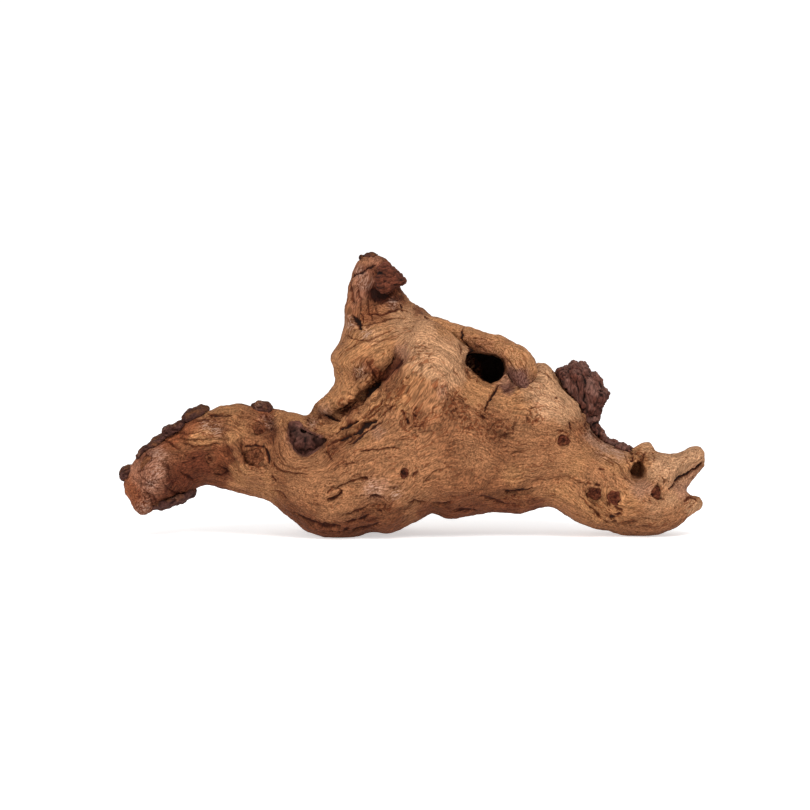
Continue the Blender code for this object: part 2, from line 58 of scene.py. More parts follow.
# Grain guides: a stream value, then X and Z of each point that the grain with this value passes.
GUIDES = [
    (0, -157, 14, -148, 17, -138, 20, -128, 26, -118, 30.5, -106, 28, -95, 25, -84, 21, -72, 12, -60, 5, -45, 1, -30,
     3, -15, 3, 0, 8, 13, 13, 25, 11, 40, 13, 60, 13.5, 75, 17, 85, 15.5, 92, 11, 100, 7, 112, 4, 125, 2, 140, 2, 150,
     5, 160, 11, 168, 18),
    (6, -161, 22, -148, 25, -134, 30, -120, 35, -106, 33, -96, 29, -85, 26, -72, 18, -60, 12, -45, 8, -30, 9, -15, 10,
     0, 14, 13, 18, 25, 17, 40, 18, 55, 18, 66, 19.5, 78, 23, 88, 21.5, 95, 17, 103, 11, 112, 8, 125, 6, 140, 6.5,
     152, 10, 160, 15, 167, 20),
    (13, -164, 31, -150, 34, -136, 37, -121, 39.5, -108, 38, -98, 34, -90, 31, -80, 28, -70, 24, -60, 19, -47, 17,
     -35, 16, -20, 17, -5, 20, 10, 24, 25, 23, 40, 24, 55, 25, 68, 27.5, 82, 29.5, 92, 28, 99, 22, 106, 14, 114, 10.5,
     126, 10, 140, 11, 152, 16, 160, 20, 166, 21.5),
    (21, -166, 38, -152, 41, -138, 44, -125, 46, -113, 46, -104, 42, -98, 37.5, -90, 33.5, -80, 32, -70, 30, -58, 28,
     -45, 26, -30, 27, -15, 29, 0, 32, 15, 37, 30, 38, 45, 35, 60, 33, 75, 35, 88, 36.5, 100, 33, 108, 26, 115, 17,
     122, 14, 132, 15, 145, 18, 155, 23, 160, 25.5),
    (29, -160, 48, -146, 50, -130, 52, -115, 53, -106, 50, -101, 44, -96, 38, -87, 35, -78, 36, -68, 35, -55, 35, -40,
     36, -25, 38, -10, 41, 5, 44, 18, 48, 32, 50, 45, 46, 60, 42, 75, 42.5, 90, 42, 104, 39, 112, 33, 118, 27, 124,
     22, 135, 22, 148, 25, 157, 30, 168, 41),
    (37, -150, 56.5, -138, 59, -125, 60, -113, 59, -104, 56, -98, 55, -90, 56, -83, 52, -78, 44, -72, 39.5, -62, 38.5,
     -50, 42, -38, 46, -20, 50, -5, 52.5, 8, 55, 20, 60, 32, 61, 45, 56, 60, 50, 75, 49, 90, 48, 105, 45, 115, 40,
     122, 34, 128, 29, 138, 29, 148, 32, 158, 40, 169, 48),
    (45, -140, 64, -128, 68, -115, 67, -102, 66, -92, 65, -84, 59, -79, 51, -75, 45, -67, 42.5, -56, 44, -46, 50, -38,
     54, -28, 58, -15, 62, -3, 65, 6, 70, 14, 76, 22, 78, 32, 74, 42, 68, 52, 60, 65, 57, 80, 56, 95, 53, 108, 50,
     120, 44, 127, 38, 134, 35, 142, 38, 152, 44, 163, 51),
    (53, -128, 74, -117, 74.5, -104, 75, -92, 73, -83, 67, -78, 58, -74, 51, -70.5, 47, -48, 56, -40, 60, -30, 65,
     -20, 70, -11, 77, -2, 84, 5, 92, 11, 97, 16, 97, 22, 92, 28, 86, 36, 78, 46, 72, 58, 69, 72, 66, 86, 62, 98, 57,
     110, 53, 122, 48, 131, 46, 140, 49, 150, 50),
    (60, -83, 76, -77, 69, -73.5, 60, -71, 54, -50, 62, -40, 66, -30, 72, -22, 79, -12, 87, -5, 95, 2, 102, 9, 106,
     17, 104, 23, 97, 28, 90, 38, 83, 50, 79, 62, 77, 76, 74, 90, 68, 100, 63, 110, 57),
    (68, -72, 73, -60, 70, -50, 69, -38, 74, -28, 82, -19, 91, -12, 100, -5, 107, 3, 112, 12, 111.5, 20, 107, 26.5,
     99, 30, 91, 50, 87, 62, 85, 74, 83, 88, 76, 97, 69, 105, 63),
    (76, -53, 78, -42, 83, -32, 92, -24, 100, -15, 108, -6, 114, 3, 117.5, 12, 117, 22, 112, 28.5, 104, 66, 92, 76,
     90, 86, 84, 94, 77, 99, 71),
    (84, -45, 88, -38, 97, -30, 106, -20, 113, -10, 118, 0, 122, 10, 122, 20, 118, 28.5, 111, 74, 97, 84, 94, 92, 86),
    (92, -46, 104, -38, 109, -28, 115, -18, 120, -8, 124, 2, 126.5, 11, 127),
    (100, -40, 116, -34, 120, -24, 124, -14, 127, -4, 131, 2, 133),
    (97, -38.5, 124, -37.5, 135, -36.5, 147, -34.5, 155, -31, 162),
    (104, -33, 126, -31, 136, -30, 147, -28, 156, -26, 164),
    (111, -24, 131, -24, 140, -23, 149, -21, 157, -19, 164),
    (118, -16, 133, -16, 141, -16, 149, -14, 157),
    (125, -7, 135, -9, 142, -9, 149, -7, 156),
]

# The grain parts round these: a centre in XZ and a radius.
EYES = [
    (88, 56.5, 3.6), (106.5, 27, 4.4), (117.5, 23.5, 4.2), (141.5, 25, 4.2), (-4, 38, 2.6), (-91, 48.3, 6.4),
    (-88, 62.5, 3.8), (-117, 45, 3.4), (-155, 46.4, 2.8), (131, 39, 5.2), (-61, 56, 8.5),
]

# Wood and bark colours, as linear albedo.
BONE = (0.50, 0.275, 0.15)
PALE = (0.43, 0.225, 0.115)
GOLD = (0.385, 0.175, 0.073)
TAN = (0.295, 0.127, 0.056)
BROWN = (0.200, 0.076, 0.032)
UMBER = (0.125, 0.038, 0.016)
RUST = (0.225, 0.066, 0.026)
CLAY = (0.300, 0.125, 0.072)
MAROON = (0.105, 0.027, 0.012)
ROSE = (0.36, 0.175, 0.10)
PLUM = (0.115, 0.046, 0.035)
# near black, for the painted shade deepest in holes and cracks
SHADE_BLACK = (0.016, 0.007, 0.005)
BARK = (0.080, 0.029, 0.021)
# lighter bark, also used as a painted highlight on plates facing up
BARK_PALE_AND_LIT = (0.165, 0.082, 0.063)
BARK_RED = (0.090, 0.024, 0.014)

# Where each colour lies on the front: a colour, then spots of X, Z and radius. Some UMBER and MAROON spots are painted
# shade: along the bottom edge, in the groove and clefts beside the dome, beside the arm's upper knots and under the
# stub's bark.
TONES = [
    (CLAY, -158, 38, 6, -153, 28, 6, -152, 44, 5, -148, 34, 5, -29, 152, 5, -31, 140, 5, -24, 160, 4),
    (RUST, -163, 30, 4, -159, 20, 5, -135, 61, 6, -146, 55, 5, -126, 66, 4, -24, 131, 5, -92, 46, 4, -17, 95, 4, -26,
     98, 4, -110, 46, 5, -85, 75, 4),
    # the MAROON spots at the bottom edge, in the groove beside the dome and round the stub's bark are painted shade;
    # those on the arm are its colour
    (MAROON, -155, 46, 4, -132, 35, 9, -137, 27, 8, -122, 40, 6, -117, 44, 4, -108, 38, 3, -18, 142, 8, -40, 5, 5,
     -16, 150, 8, -26, 156, 4, -25, 144, 4, -145, 23, 5, -15, 94, 4, -11, 99, 4, -8, 104, 3, -126, 46, 5, -20, 136, 4,
     -50, 4, 5, -14, 146, 5, -36, 66, 2, -28, 64, 2),
    # the UMBER spots along the bottom edge, in the clefts beside the dome and beside the arm's upper knots are painted
    # shade
    (UMBER, -81, 62, 5, -109, 46, 6, -27, 6, 7, 22, 13, 5, 40, 15, 6, 56, 15, 6, -60, 8, 6, -35, 74, 3, 10, 15, 4,
     -48, 69, 3, -112, 30, 5, -70, 14, 5, -12, 8, 5, 70, 18, 4, 4, 130, 3, -24, 84, 4, -45, 51, 3, 30, 14, 5, 50, 14,
     5),
    (BROWN, -34, 142, 3, -36, 138, 3, -27, 134, 5, -22, 128, 4, -111, 64, 5, -128, 52, 5, 24, 58, 8, -72, 20, 6, 22,
     50, 8, 84, 32, 4, 76, 54, 5, -14, 13, 6, 46, 27, 10, 48, 62, 8, 26, 74, 5, 3, 68, 5, -38, 61, 4, -44, 46, 6, -78,
     46, 6, 98, 62, 5, 64, 23, 6, -92, 62, 6, 54, 48, 8, -30, 93, 6, -118, 68, 6, -102, 68, 5, -97, 54, 6, 4, 84, 6,
     -33, 128, 4, -50, 58, 4, 28, 32, 7, -10, 86, 5, 14, 30, 6, -75, 33, 5, -58, 20, 6),
    (TAN, -26, 160, 3, -38, 152, 3, -95, 31, 7, -60, 28, 11, -35, 34, 12, -10, 48, 12, 12, 42, 12, 72, 52, 12, 30, 55,
     10, 78, 38, 10, -58, 40, 6, 105, 36, 9, -14, 66, 7, 10, 82, 7, 140, 12, 9, -88, 38, 5, 113, 30, 7, -46, 16, 9,
     150, 12, 7, 4, 28, 8, -73, 44, 6, -42, 76, 5, -28, 76, 5, 60, 66, 7, 92, 52, 7, -74, 62, 5, 42, 46, 8, -20, 132,
     5),
    (GOLD, -112, 76, 4, -120, 72, 3, -124, 62, 4, -117, 58, 4, -104, 74, 3, -104, 58, 3, -121, 55, 3, -128, 57, 2,
     -104.5, 47, 2, -102.5, 38, 3, -98, 32, 4, -91, 28, 4, -83, 25, 4, -98, 61, 4, -84, 36, 3, -104, 69, 4, -45, 76,
     4, -30, 60, 4, -44, 64, 3, 116, 18, 7, -50, 62, 3, 60, 36, 5, -18, 112, 8, -40, 86, 7, -34, 100, 6, -28, 90, 5,
     96, 42, 7, 108, 12, 6, 120, 14, 6, 86, 26, 6, -75, 68, 4, 100, 15, 6, -46, 78, 4, 22, 122, 6, -20, 79, 4, 128,
     20, 6, 118, 42, 6, 62, 107, 5, -67, 70, 3, 38, 86, 6, -42, 98, 5, 134, 45, 5, 60, 76, 6, -26, 70, 4, -98, 35, 4,
     -24, 120, 5, -30, 117, 4, 112, 22, 5, -40, 63, 3, 2, 86, 7, -6, 80, 5),
    (PLUM, 57, 87, 3, 61, 89, 3),
    (BONE, 78, 82, 8, 88, 80, 6, 72, 88, 5, 154, 42, 5, 163, 47, 4, 146, 41, 4, 66, 103, 3),
    (PALE, 0, 121, 8, 22, 106, 8, -20, 116, 5, 88, 80, 6, 8, 112, 8, 80, 86, 10, 93, 74, 6, 155, 42, 8, 146, 40, 6,
     164, 47, 5, 137, 51, 4, 24, 96, 6, 70, 90, 7, 8, 102, 6, 150, 20, 4, 164, 17, 4, 142, 15, 5, 88, 90, 6, 12, 96,
     5),
    (ROSE, 157, 28, 4, 164, 36, 4, 60, 92, 5, 66, 98, 4, 18, 84, 3, 134, 26, 4, 112, 52, 3, 120, 49, 3, 105, 58, 3,
     -48, 74, 3, -22, 28, 5, -20, 62, 3, -6, 108, 4),
]

# Whitish dust on the crests: spots of X, Z and radius.
DUST = [
    (-147, 48, 5), (-148, 38, 4), (-156, 17, 4), (-120, 64, 4), (-114, 62, 4), (-22, 28, 5), (-9, 25, 4),
    (-27, 147, 4), (-30, 154, 3), (-84, 67, 4), (-11, 135.5, 3), (-26, 118, 4), (-58, 66, 3), (-48, 72, 3),
    (-152, 30, 4), (34, 104, 3), (114, 51, 6), (-36, 124, 4), (122, 47, 4), (-30, 96, 4), (104, 60, 3),
]

# How rough the wood is: spots of X, Z, radius and how much more (or, below 0, less) than the rest.
ROUGH = [
    (-150, 34, 20, 0.5), (-122, 60, 18, 0.5), (-96, 50, 16, 0.4), (-58, 66, 10, 0.8), (-36, 70, 12, 0.6),
    (-26, 96, 12, 0.6), (0, 68, 14, 0.4), (26, 74, 12, 0.5), (36, 48, 22, -0.35), (32, 28, 18, -0.35),
    (84, 40, 18, -0.3), (94, 26, 14, -0.2), (154, 40, 12, -0.2), (118, 14, 10, 0.5), (-6, 116, 14, 0.1),
    (-25, 128, 10, 0.4), (76, 50, 12, -0.3), (50, 74, 10, 0.4), (-20, 140, 9, -0.1), (-11, 98, 6, -0.8),
]

# Marks carved into the front: depth, radius, darkness, then X and Z of each point of the path. A negative depth is a
# ridge. The darkness is painted shade in the clefts, cracks and gaps, and in part the wood's own dark streaks.
MARKS = [
    # the crumbling groove beside the dome, and the clefts below it
    (-3, 5.5, 0, -50, 74, -42, 76, -37, 78), (-2.4, 5, 0, -20, 94, -16, 100, -12, 106),
    (2.2, 1.2, 0.85, -61, 68.8, -58, 67.2, -54, 66.6),
    (2.4, 1.4, 0.9, -50, 70, -46, 69, -41, 68.4, -36, 71, -31, 76, -27, 80),
    (0.8, 4, 0.5, -40, 72.6, -35, 76, -30, 79.4), (1.2, 0.8, 0.75, -43, 73.6, -38, 77, -33, 80),
    (1.2, 0.8, 0.75, -41, 70.8, -37, 74, -32, 79), (3.2, 2.3, 1, -28.4, 79.6, -25, 83.6, -18.6, 88.8),
    (0.8, 1.6, 0.7, -19, 89, -13, 94, -9, 98.6, -5.4, 103.6), (0.6, 3.6, 0.45, -15, 92, -12, 97, -9, 103),
    (0.8, 1, 0.9, -11.4, 105, -10.6, 101), (-1.6, 1.5, 0, -40, 66.6, -32, 72, -25, 78.4, -17, 86, -7, 96, -2, 101),
    (2, 1.6, 1, -46.5, 59, -41, 62, -36.5, 64.6, -31, 67.4),
    (2.4, 1.9, 1, -36, 59.4, -31, 62.6, -26, 65.6, -20.5, 68), (1.4, 1.2, 0.9, -42, 56.6, -38, 58.6, -35, 60),
    (1.2, 1, 0.7, -26, 68.6, -21, 72, -16, 77), (1.4, 1.1, 0.85, -36, 54, -30, 58.5, -24.6, 62.4, -17, 67.4),
    (1, 0.8, 0.7, -29, 69, -24, 73, -19, 77, -14, 82), (1, 0.8, 0.65, -19, 69.4, -14, 73, -10, 77),
    (1.3, 1.5, 0.85, -2.8, 68.4, -2, 66.6), (0.9, 1.1, 0.7, -5.6, 73, -4, 71.6), (0.9, 1, 0.7, 1, 71.4, 3, 69.6),
    (0.8, 0.9, 0.6, 0, 64.4, 4, 63.4, 8, 65), (1, 1, 0.65, -50, 52.5, -42, 57, -34, 61, -29, 63),
    (1.2, 0.9, 0.6, -41, 51, -36.5, 55.5, -33, 59, -28, 62.5), (1.1, 1, 0.5, -20, 70, -15.5, 75.5, -12, 78),
    (0.9, 0.8, 0.4, -25, 71, -20, 75.5, -15, 79), (1, 1.8, 0.55, -41, 55, -38, 58),
    (-1.2, 2, 0, -46, 62.5, -38, 66.5, -30, 71.5, -22, 78), (-1.2, 1.3, 0, -44, 58.6, -36, 62.4, -28, 67, -21, 70.6),
    # the pocket's crumbled rim
    (1, 1.2, 0.6, -72, 66, -70, 60, -69, 54, -66, 49),
    (-1.6, 2.2, 0, -75, 68, -73.5, 58, -71, 50, -65, 44.5, -58, 44.5, -50, 50),
    (1.2, 1, 0.6, -82, 44, -78, 39, -73, 37, -66, 36, -60, 36.5),
    (1, 0.8, 0.5, -79, 48, -75, 42, -68, 39.5, -60, 39.5), (0.8, 0.8, 0.5, -78, 56, -76.5, 48, -73, 43),
    (0.7, 0.9, 0.6, -50, 49, -47.5, 46, -46, 44),
    # the stub's streaks
    (0.9, 0.8, 0.65, -35, 152, -34.4, 144, -33.6, 136), (0.9, 0.8, 0.6, -31.6, 147, -30.6, 139, -29.4, 131),
    (0.9, 0.8, 0.65, -26, 138, -24.6, 131, -22, 126), (0.8, 0.8, 0.55, -21, 134, -18.4, 129, -15, 126),
    (-0.8, 1, 0, -33, 150, -32.4, 142, -31.4, 134),
    # under the belly
    (1.2, 1.1, 0.75, -66, 12, -58, 8.6, -50, 6.4, -41, 6), (1, 1, 0.7, -52, 3.4, -44, 2.8, -36, 4.4),
    (1.2, 1, 0.75, -38, 8.6, -31, 9.4, -24, 12), (1, 0.9, 0.65, -34, 3.6, -26, 5, -19, 8),
    (-1.2, 1.4, 0, -60, 6, -50, 4.6, -40, 4), (1, 0.9, 0.7, 24, 14.8, 31, 15.6, 38, 15.4),
    # the groove's walls
    (1, 0.8, 0.7, -16, 97, -12.4, 101, -10, 104.6), (0.8, 0.7, 0.6, -22, 90, -19.4, 94, -18.6, 98),
    (-0.8, 0.8, 0, -14, 96, -10.6, 100, -8, 103.6),
    # the tip
    (1.1, 1.5, 0.6, -157, 44, -154.5, 48.4, -152, 46.4, -153.6, 43.6), (0.8, 0.7, 0.6, -160, 37, -155, 33, -150, 31),
    (0.8, 0.7, 0.6, -146, 34, -142, 28, -137, 25), (0.8, 0.7, 0.5, -158, 28, -153, 24, -150, 18),
    # the belly
    (1, 0.8, 0.7, -30, 50, -24, 50.6, -19, 51.1, -13, 51.4, -7, 52), (0.8, 1, 0.6, -38, 42, -34, 43),
    (0.7, 0.8, 0.5, -13, 41.6, -9, 43), (1.2, 0.9, 0.7, -44, 28.2, -38, 30.6, -33, 32.6, -27, 34),
    (1, 1.8, 0.7, -29, 33.6, -26.6, 33.6), (1.8, 1.1, 0.8, -48.6, 21.2, -45, 22, -40.6, 25.4),
    (1, 0.9, 0.6, -49.5, 24.6, -47, 28, -43.5, 27.6, -40.5, 25.8), (-1, 1.7, 0, -47, 25, -43.5, 25.6),
    (1.6, 1.4, 0.8, -23, 22, -20, 22.6, -17, 22), (1, 3, 0.35, -20, 19, -14, 17),
    (1.1, 0.9, 0.65, -40, 11.6, -33, 14.2, -28, 16.4, -24, 19), (1, 0.9, 0.6, -2, 19, 3, 20.4, 8, 20),
    (0.8, 1.2, 0.5, -12, 28, -8, 28.6), (0.8, 1.4, 0.6, 1, 35, 4, 37.6),
    (0.8, 0.8, 0.45, 7, 32, 12, 36, 18, 39, 26, 44), (0.7, 0.7, 0.4, 18, 38, 24, 41, 29, 45),
    (1, 1, 0.6, 11, 18.6, 18, 19, 24, 20.4), (1, 1.4, 0.6, 40, 23.4, 46, 22, 53, 19),
    (1.4, 1, 0.9, 54.5, 25.8, 60, 25.9, 66, 27, 70.6, 29), (1, 1, 0.4, 57, 47.6, 61, 49, 66, 49.4),
    (-1.4, 1.6, 0, 60, 46.6, 65, 46), (1, 0.9, 0.55, 50, 56, 54, 59.4, 59, 61, 60.5, 66),
    (0.9, 0.8, 0.5, 44, 61, 50, 67, 57, 68), (0.7, 0.8, 0.45, 62, 70, 61, 65, 57, 61),
    (0.8, 0.8, 0.5, 75, 71.4, 72.5, 69.6, 72, 66.6), (0.7, 0.8, 0.5, 69, 74, 72, 75.6),
    (0.8, 0.9, 0.6, 85, 61.6, 90, 60), (0.9, 1, 0.7, 92, 66, 93.4, 62.6), (0.8, 1, 0.8, 84.2, 80.6, 84.6, 80.4),
    (0.5, 0.7, 0.6, 79, 91.8, 79.2, 91.2),
    # drying cracks round the bridge
    (1.2, 0.9, 0.85, 7, 128.2, 12, 126.2, 17, 123.6, 22, 120.4, 27, 116.4, 29.5, 111, 30, 105),
    (1.9, 1.1, 0.95, 51, 89, 47.4, 84.4, 45.4, 80, 43.6, 76, 42, 73), (1, 1.6, 0.7, 41.2, 70.2, 42, 69),
    (1.2, 0.9, 0.8, 71.4, 100.6, 70.6, 95.4, 67.4, 90, 63.6, 86, 61, 83.6), (1, 1.2, 0.5, 54, 85, 58, 88, 60, 86),
    (-3.6, 5.5, 0, 62, 83, 69, 85, 75, 91, 77, 98), (1.6, 2.4, 0.55, 33.6, 104, 32, 99, 34, 93.6),
    (1.4, 1.2, 0.8, 35, 107, 38, 101, 36, 97, 39, 93), (1.6, 1.4, 0.8, 128.4, 44, 128, 48.6),
    (1.2, 1.2, 0.7, 133.6, 44, 135.4, 48.4),
    # under the bark, where the dark line in the gap between the wood and the bark is painted shade
    (1.6, 1.2, 0.95, 81.5, 96.4, 85, 91.4, 90, 86, 95, 81, 98, 77, 99.6, 72),
    (1.2, 1, 0.9, 99, 71, 102.6, 67, 101, 63, 104, 62), (1.2, 1, 0.75, 104, 62, 108, 57.4, 113, 53.8, 119, 51),
    # the foot
    (0.8, 0.9, 0.75, 109.4, 39.6, 112, 39.4), (0.9, 0.9, 0.6, 110, 46.6, 113.6, 44, 117.4, 41.2),
    (1, 0.9, 0.65, 98, 24, 102, 20, 106, 15.6, 110, 11, 115, 7.4), (0.9, 0.8, 0.5, 100, 28, 103, 22, 108, 17),
    (-1.3, 2.4, 0, 66, 27.4, 76, 29.6, 86, 30, 94, 27.6, 98, 22, 103, 15, 109, 9),
    (-1.2, 2.6, 0, 84, 37.4, 92, 36.8, 99, 33.8, 103, 32.6), (0.9, 1, 0.5, 86, 35, 94, 34, 100, 31),
    (1.4, 2, 0.85, 104.6, 25.8, 108.4, 26), (1.2, 1.5, 0.8, 107.4, 30.4, 108.8, 30),
    (0.7, 1.3, 0.6, 104, 30.5, 103, 31.5), (0.9, 1.2, 0.7, 113.6, 18.6, 115, 18),
    (0.9, 1.1, 0.75, 118.8, 16.6, 122, 15.4), (0.9, 1.1, 0.75, 118.4, 13, 121, 13.4),
    (1.1, 1.6, 0.85, 115.8, 11.2, 117.6, 11.2), (0.8, 1, 0.7, 109, 13, 109.8, 11.8),
    (0.7, 0.9, 0.6, 117, 8.6, 119, 8.4), (0.5, 1.6, 0.5, 119, 6.6, 126, 7.4, 132, 9),
    (0.5, 1.3, 0.45, 134, 5, 138, 5.4, 142.6, 8), (1.5, 2.4, 0.85, 140.6, 24, 142.4, 27.6),
    (0.8, 0.9, 0.6, 142.6, 28, 143, 31), (0.7, 1, 0.5, 138, 22, 139.6, 19.4), (0.7, 1, 0.5, 144, 22.6, 147, 22),
    (0.7, 0.8, 0.6, 145, 34.6, 146.4, 32, 147, 29.6), (0.6, 0.8, 0.5, 146.6, 32.4, 150.4, 32),
    (1.9, 1.1, 0.95, 150, 27.6, 154.4, 32, 160, 36.2, 165.6, 39.8, 169.6, 42.8),
    (1.2, 1.5, 0.65, 159, 21, 162, 23, 165.6, 21.8), (0.8, 0.8, 0.55, 124, 47.4, 126, 43, 127.4, 37, 131, 31),
    (0.7, 0.8, 0.5, 107, 49.4, 114, 46, 121, 41, 125, 35, 129, 30), (0.6, 0.6, 0.35, 150, 47, 147.4, 42, 145, 37),
    (0.6, 0.6, 0.35, 163, 48, 158, 42, 153.6, 35), (0.9, 0.9, 0.6, 129, 48.6, 132.6, 47, 134.6, 45.4, 134, 49),
    (0.6, 0.9, 0.6, 124, 33.8, 124.8, 33.2), (0.7, 0.9, 0.55, 140, 49.6, 141.6, 47, 141, 43),
    # the arm
    (1.6, 3.2, 0.45, -109, 52, -104, 43, -99, 36),
    (-1.6, 2.4, 0, -104, 56, -101, 48, -98.6, 40, -93, 35.6, -85, 34.6),
    (1.5, 1.4, 0.75, -119, 71.6, -112, 71.2, -105, 70.4), (1.2, 1.2, 0.6, -99, 55, -98.4, 48, -96.6, 42.4),
    (1.2, 1.1, 0.85, -97, 52.6, -91, 53.2, -85, 52.2), (1.6, 1.2, 0.85, -84.6, 51, -83.4, 46, -83.6, 41.6),
    # the broad, faint mark right of the arm's upper knots is a painted shadow
    (0.8, 1, 0.6, -95, 42.6, -89, 40.6, -85, 41), (1, 3.4, 0.4, -81, 68, -80, 60, -82, 55),
    (1, 1.3, 0.6, -84, 70, -81.4, 66.6), (0.9, 1, 0.7, -80.6, 35.2, -79, 33),
    (0.9, 0.9, 0.6, -114.6, 37, -110.6, 35.4, -106, 37.4), (1, 1, 0.6, -112, 41, -108, 38),
    (1, 1.2, 0.55, -83, 25.6, -78, 26, -73, 23), (1.2, 1.1, 0.6, -134, 38, -130, 35, -126, 32.6),
    (1.2, 1.4, 0.55, -140, 26, -134, 24, -129, 26), (1.1, 1, 0.6, -133, 54.6, -126, 52, -120, 51.8, -113, 54),
    (1, 0.9, 0.5, -136, 58, -129, 56, -122, 56.6, -114, 57.8, -107, 56),
    (0.9, 0.9, 0.5, -138, 61.6, -130, 60, -122, 61.8), (-1.1, 1.4, 0, -132, 57.8, -125, 58.4, -118, 59.4),
    (1.2, 1.2, 0.6, -145, 56, -139, 55, -135, 51), (1.1, 1.6, 0.55, -126, 66.6, -121, 68.6, -118, 67),
    (1, 1.2, 0.6, -160, 38, -156, 39.6), (0.9, 1.1, 0.5, -158, 31, -152, 30, -147, 27),
    (0.9, 1.1, 0.5, -156, 25, -151, 23, -148, 20), (0.9, 1, 0.5, -146, 44, -142, 41, -141, 36),
    (1, 1.2, 0.65, -92, 67.6, -89, 66.6, -85.6, 65),
    # the stub
    (1.3, 0.8, 0.95, -35, 150.6, -30, 153.8, -25, 156.4, -20.6, 158.4),
    (2.2, 1.6, 1, -34.4, 129, -32, 126, -30.4, 122.6, -29.6, 120), (1, 0.8, 0.7, -29.6, 130, -28.2, 127, -28, 124),
    (1.6, 5, 0.8, -21, 141.4, -15, 141), (1.2, 5, 0.3, -26, 147, -24, 136),
    (1.3, 0.9, 0.7, -26, 129.6, -18, 130, -12, 131.4, -7, 132.4, -2, 131),
    (1, 0.8, 0.6, -28, 123.6, -20, 124.2, -14, 126.2, -8, 127.8, -3, 127.4),
    (1, 0.9, 0.6, -38, 117, -34, 115.4, -31.6, 113.8, -25, 114.2, -18, 117.6, -8, 121.4),
    (-1.1, 1.8, 0, -34, 118, -26, 117.4, -18, 120.4, -9, 124), (-1.4, 2.2, 0, -37, 127, -36, 138, -34.6, 148),
    (-1.2, 1.8, 0, -17, 134.4, -11, 135.8, -6, 135), (0.8, 0.9, 0.9, -6.4, 134.4, -6, 133.8),
    (0.6, 2.2, 0.5, -10, 138, -5, 139.6), (0.6, 0.8, 0.5, -36, 110, -28, 113, -16, 114, -10, 116.6),
    (0.8, 1, 0.5, -34, 90.6, -31, 93, -28, 96), (0.8, 1, 0.6, -26, 101.6, -23, 97, -21.6, 92.6),
    (0.8, 1.2, 0.6, -25, 95, -22.4, 91),
]

# The same for the back.
BACK_MARKS = [
    (1.6, 1, 0.85, -36, 108, -33, 96, -26, 84, -22, 70), (1.6, 1, 0.8, -28, 150, -26, 134, -20, 120, -16, 110),
    (1.4, 1, 0.8, 56, 92, 62, 80, 74, 70, 82, 58), (1.4, 1.2, 0.8, 10, 44, 20, 40, 34, 38, 46, 32),
    (1.2, 1, 0.7, -132, 54, -122, 58, -112, 60), (1.4, 1.2, 0.7, -70, 44, -58, 38, -44, 36),
    (-1.6, 3, 0, -80, 60, -64, 52, -46, 50, -28, 56), (-1.5, 3, 0, 6, 70, 30, 66, 54, 56, 80, 46),
    (1.2, 1.6, 0.7, 118, 36, 124, 34), (1.2, 1.8, 0.8, -6, 88, -2, 84),
]

# Burls, where the grain breaks up into pits: a centre in XZ, a radius and a strength.
BURLS = [
    (1, 68, 9, 1), (-12, 78, 6, 0.6), (26, 76, 9, 1), (16, 88, 6, 0.5), (34, 66, 8, 0.6), (52, 62, 7, 0.5),
    (-26, 96, 9, 0.9), (41, 72, 6, 0.7), (-36, 75, 7, 1), (6, 106, 9, 0.5), (72, 70, 7, 0.6), (-57, 67, 6, 1),
    (116, 15, 9, 0.5), (133, 46, 6, 0.7), (-84, 67, 6, 0.8), (-8, 86, 8, 0.7), (-117, 64, 8, 0.7),
    (-152, 34, 10, 0.35), (-137, 27, 9, 0.6), (-48, 50, 6, 0.5), (58, 20, 7, 0.6), (162, 20, 5, 0.5),
    (-15, 18, 7, 0.5), (101, 61, 5, 0.6), (-156, 22, 9, 0.5), (44, 60, 9, 0.4), (35, 100, 6, 0.9), (-90, 48, 6, 0.5),
    (24, 50, 8, 0.25), (88, 57, 6, 0.5), (-28, 124, 5, 0.5),
]

# Where the wood crumbles away: spots of X, Z, radius and the height of the flakes.
CRUMBLED = [
    (34.5, 99, 4.5, 2.4), (37, 91, 3.5, 1.6), (-57, 65.5, 5, 1.3), (-50, 67, 4, 1.2), (-38, 74.5, 5, 1.4),
    (-32, 79, 3.5, 1.2), (129, 45, 4, 1.4), (-45, 52, 3, 1), (-30, 124, 3, 1), (-90, 47, 3.5, 0.9),
    (101, 62, 3, 1), (162, 21, 4, 0.8), (-137, 25, 6, 0.9), (-156, 21, 5, 0.7), (-96, 70, 4, 0.8),
]

# Holes in the front, darkened inside with painted shade: the middle in XZ, the half width and height, from where to
# where in Y the painted shade deepens, where they end, and how dark they get.
HOLES = [
    (44.5, 98, 12, 12, -27, -17, 19, 1.0),
    (131.3, 38, 6, 7.5, -18, -8, 0, 0.5),
]

# The pocket: its middle in XZ, where its lining starts and ends in Y, and the line across its crumbled corner.
POCKET = (-62, 57)
POCKET_DEPTHS = (-36, -30, -12, -6)
POCKET_CORNER, POCKET_CORNER_OFFSET = (0.545, 1), 29.8

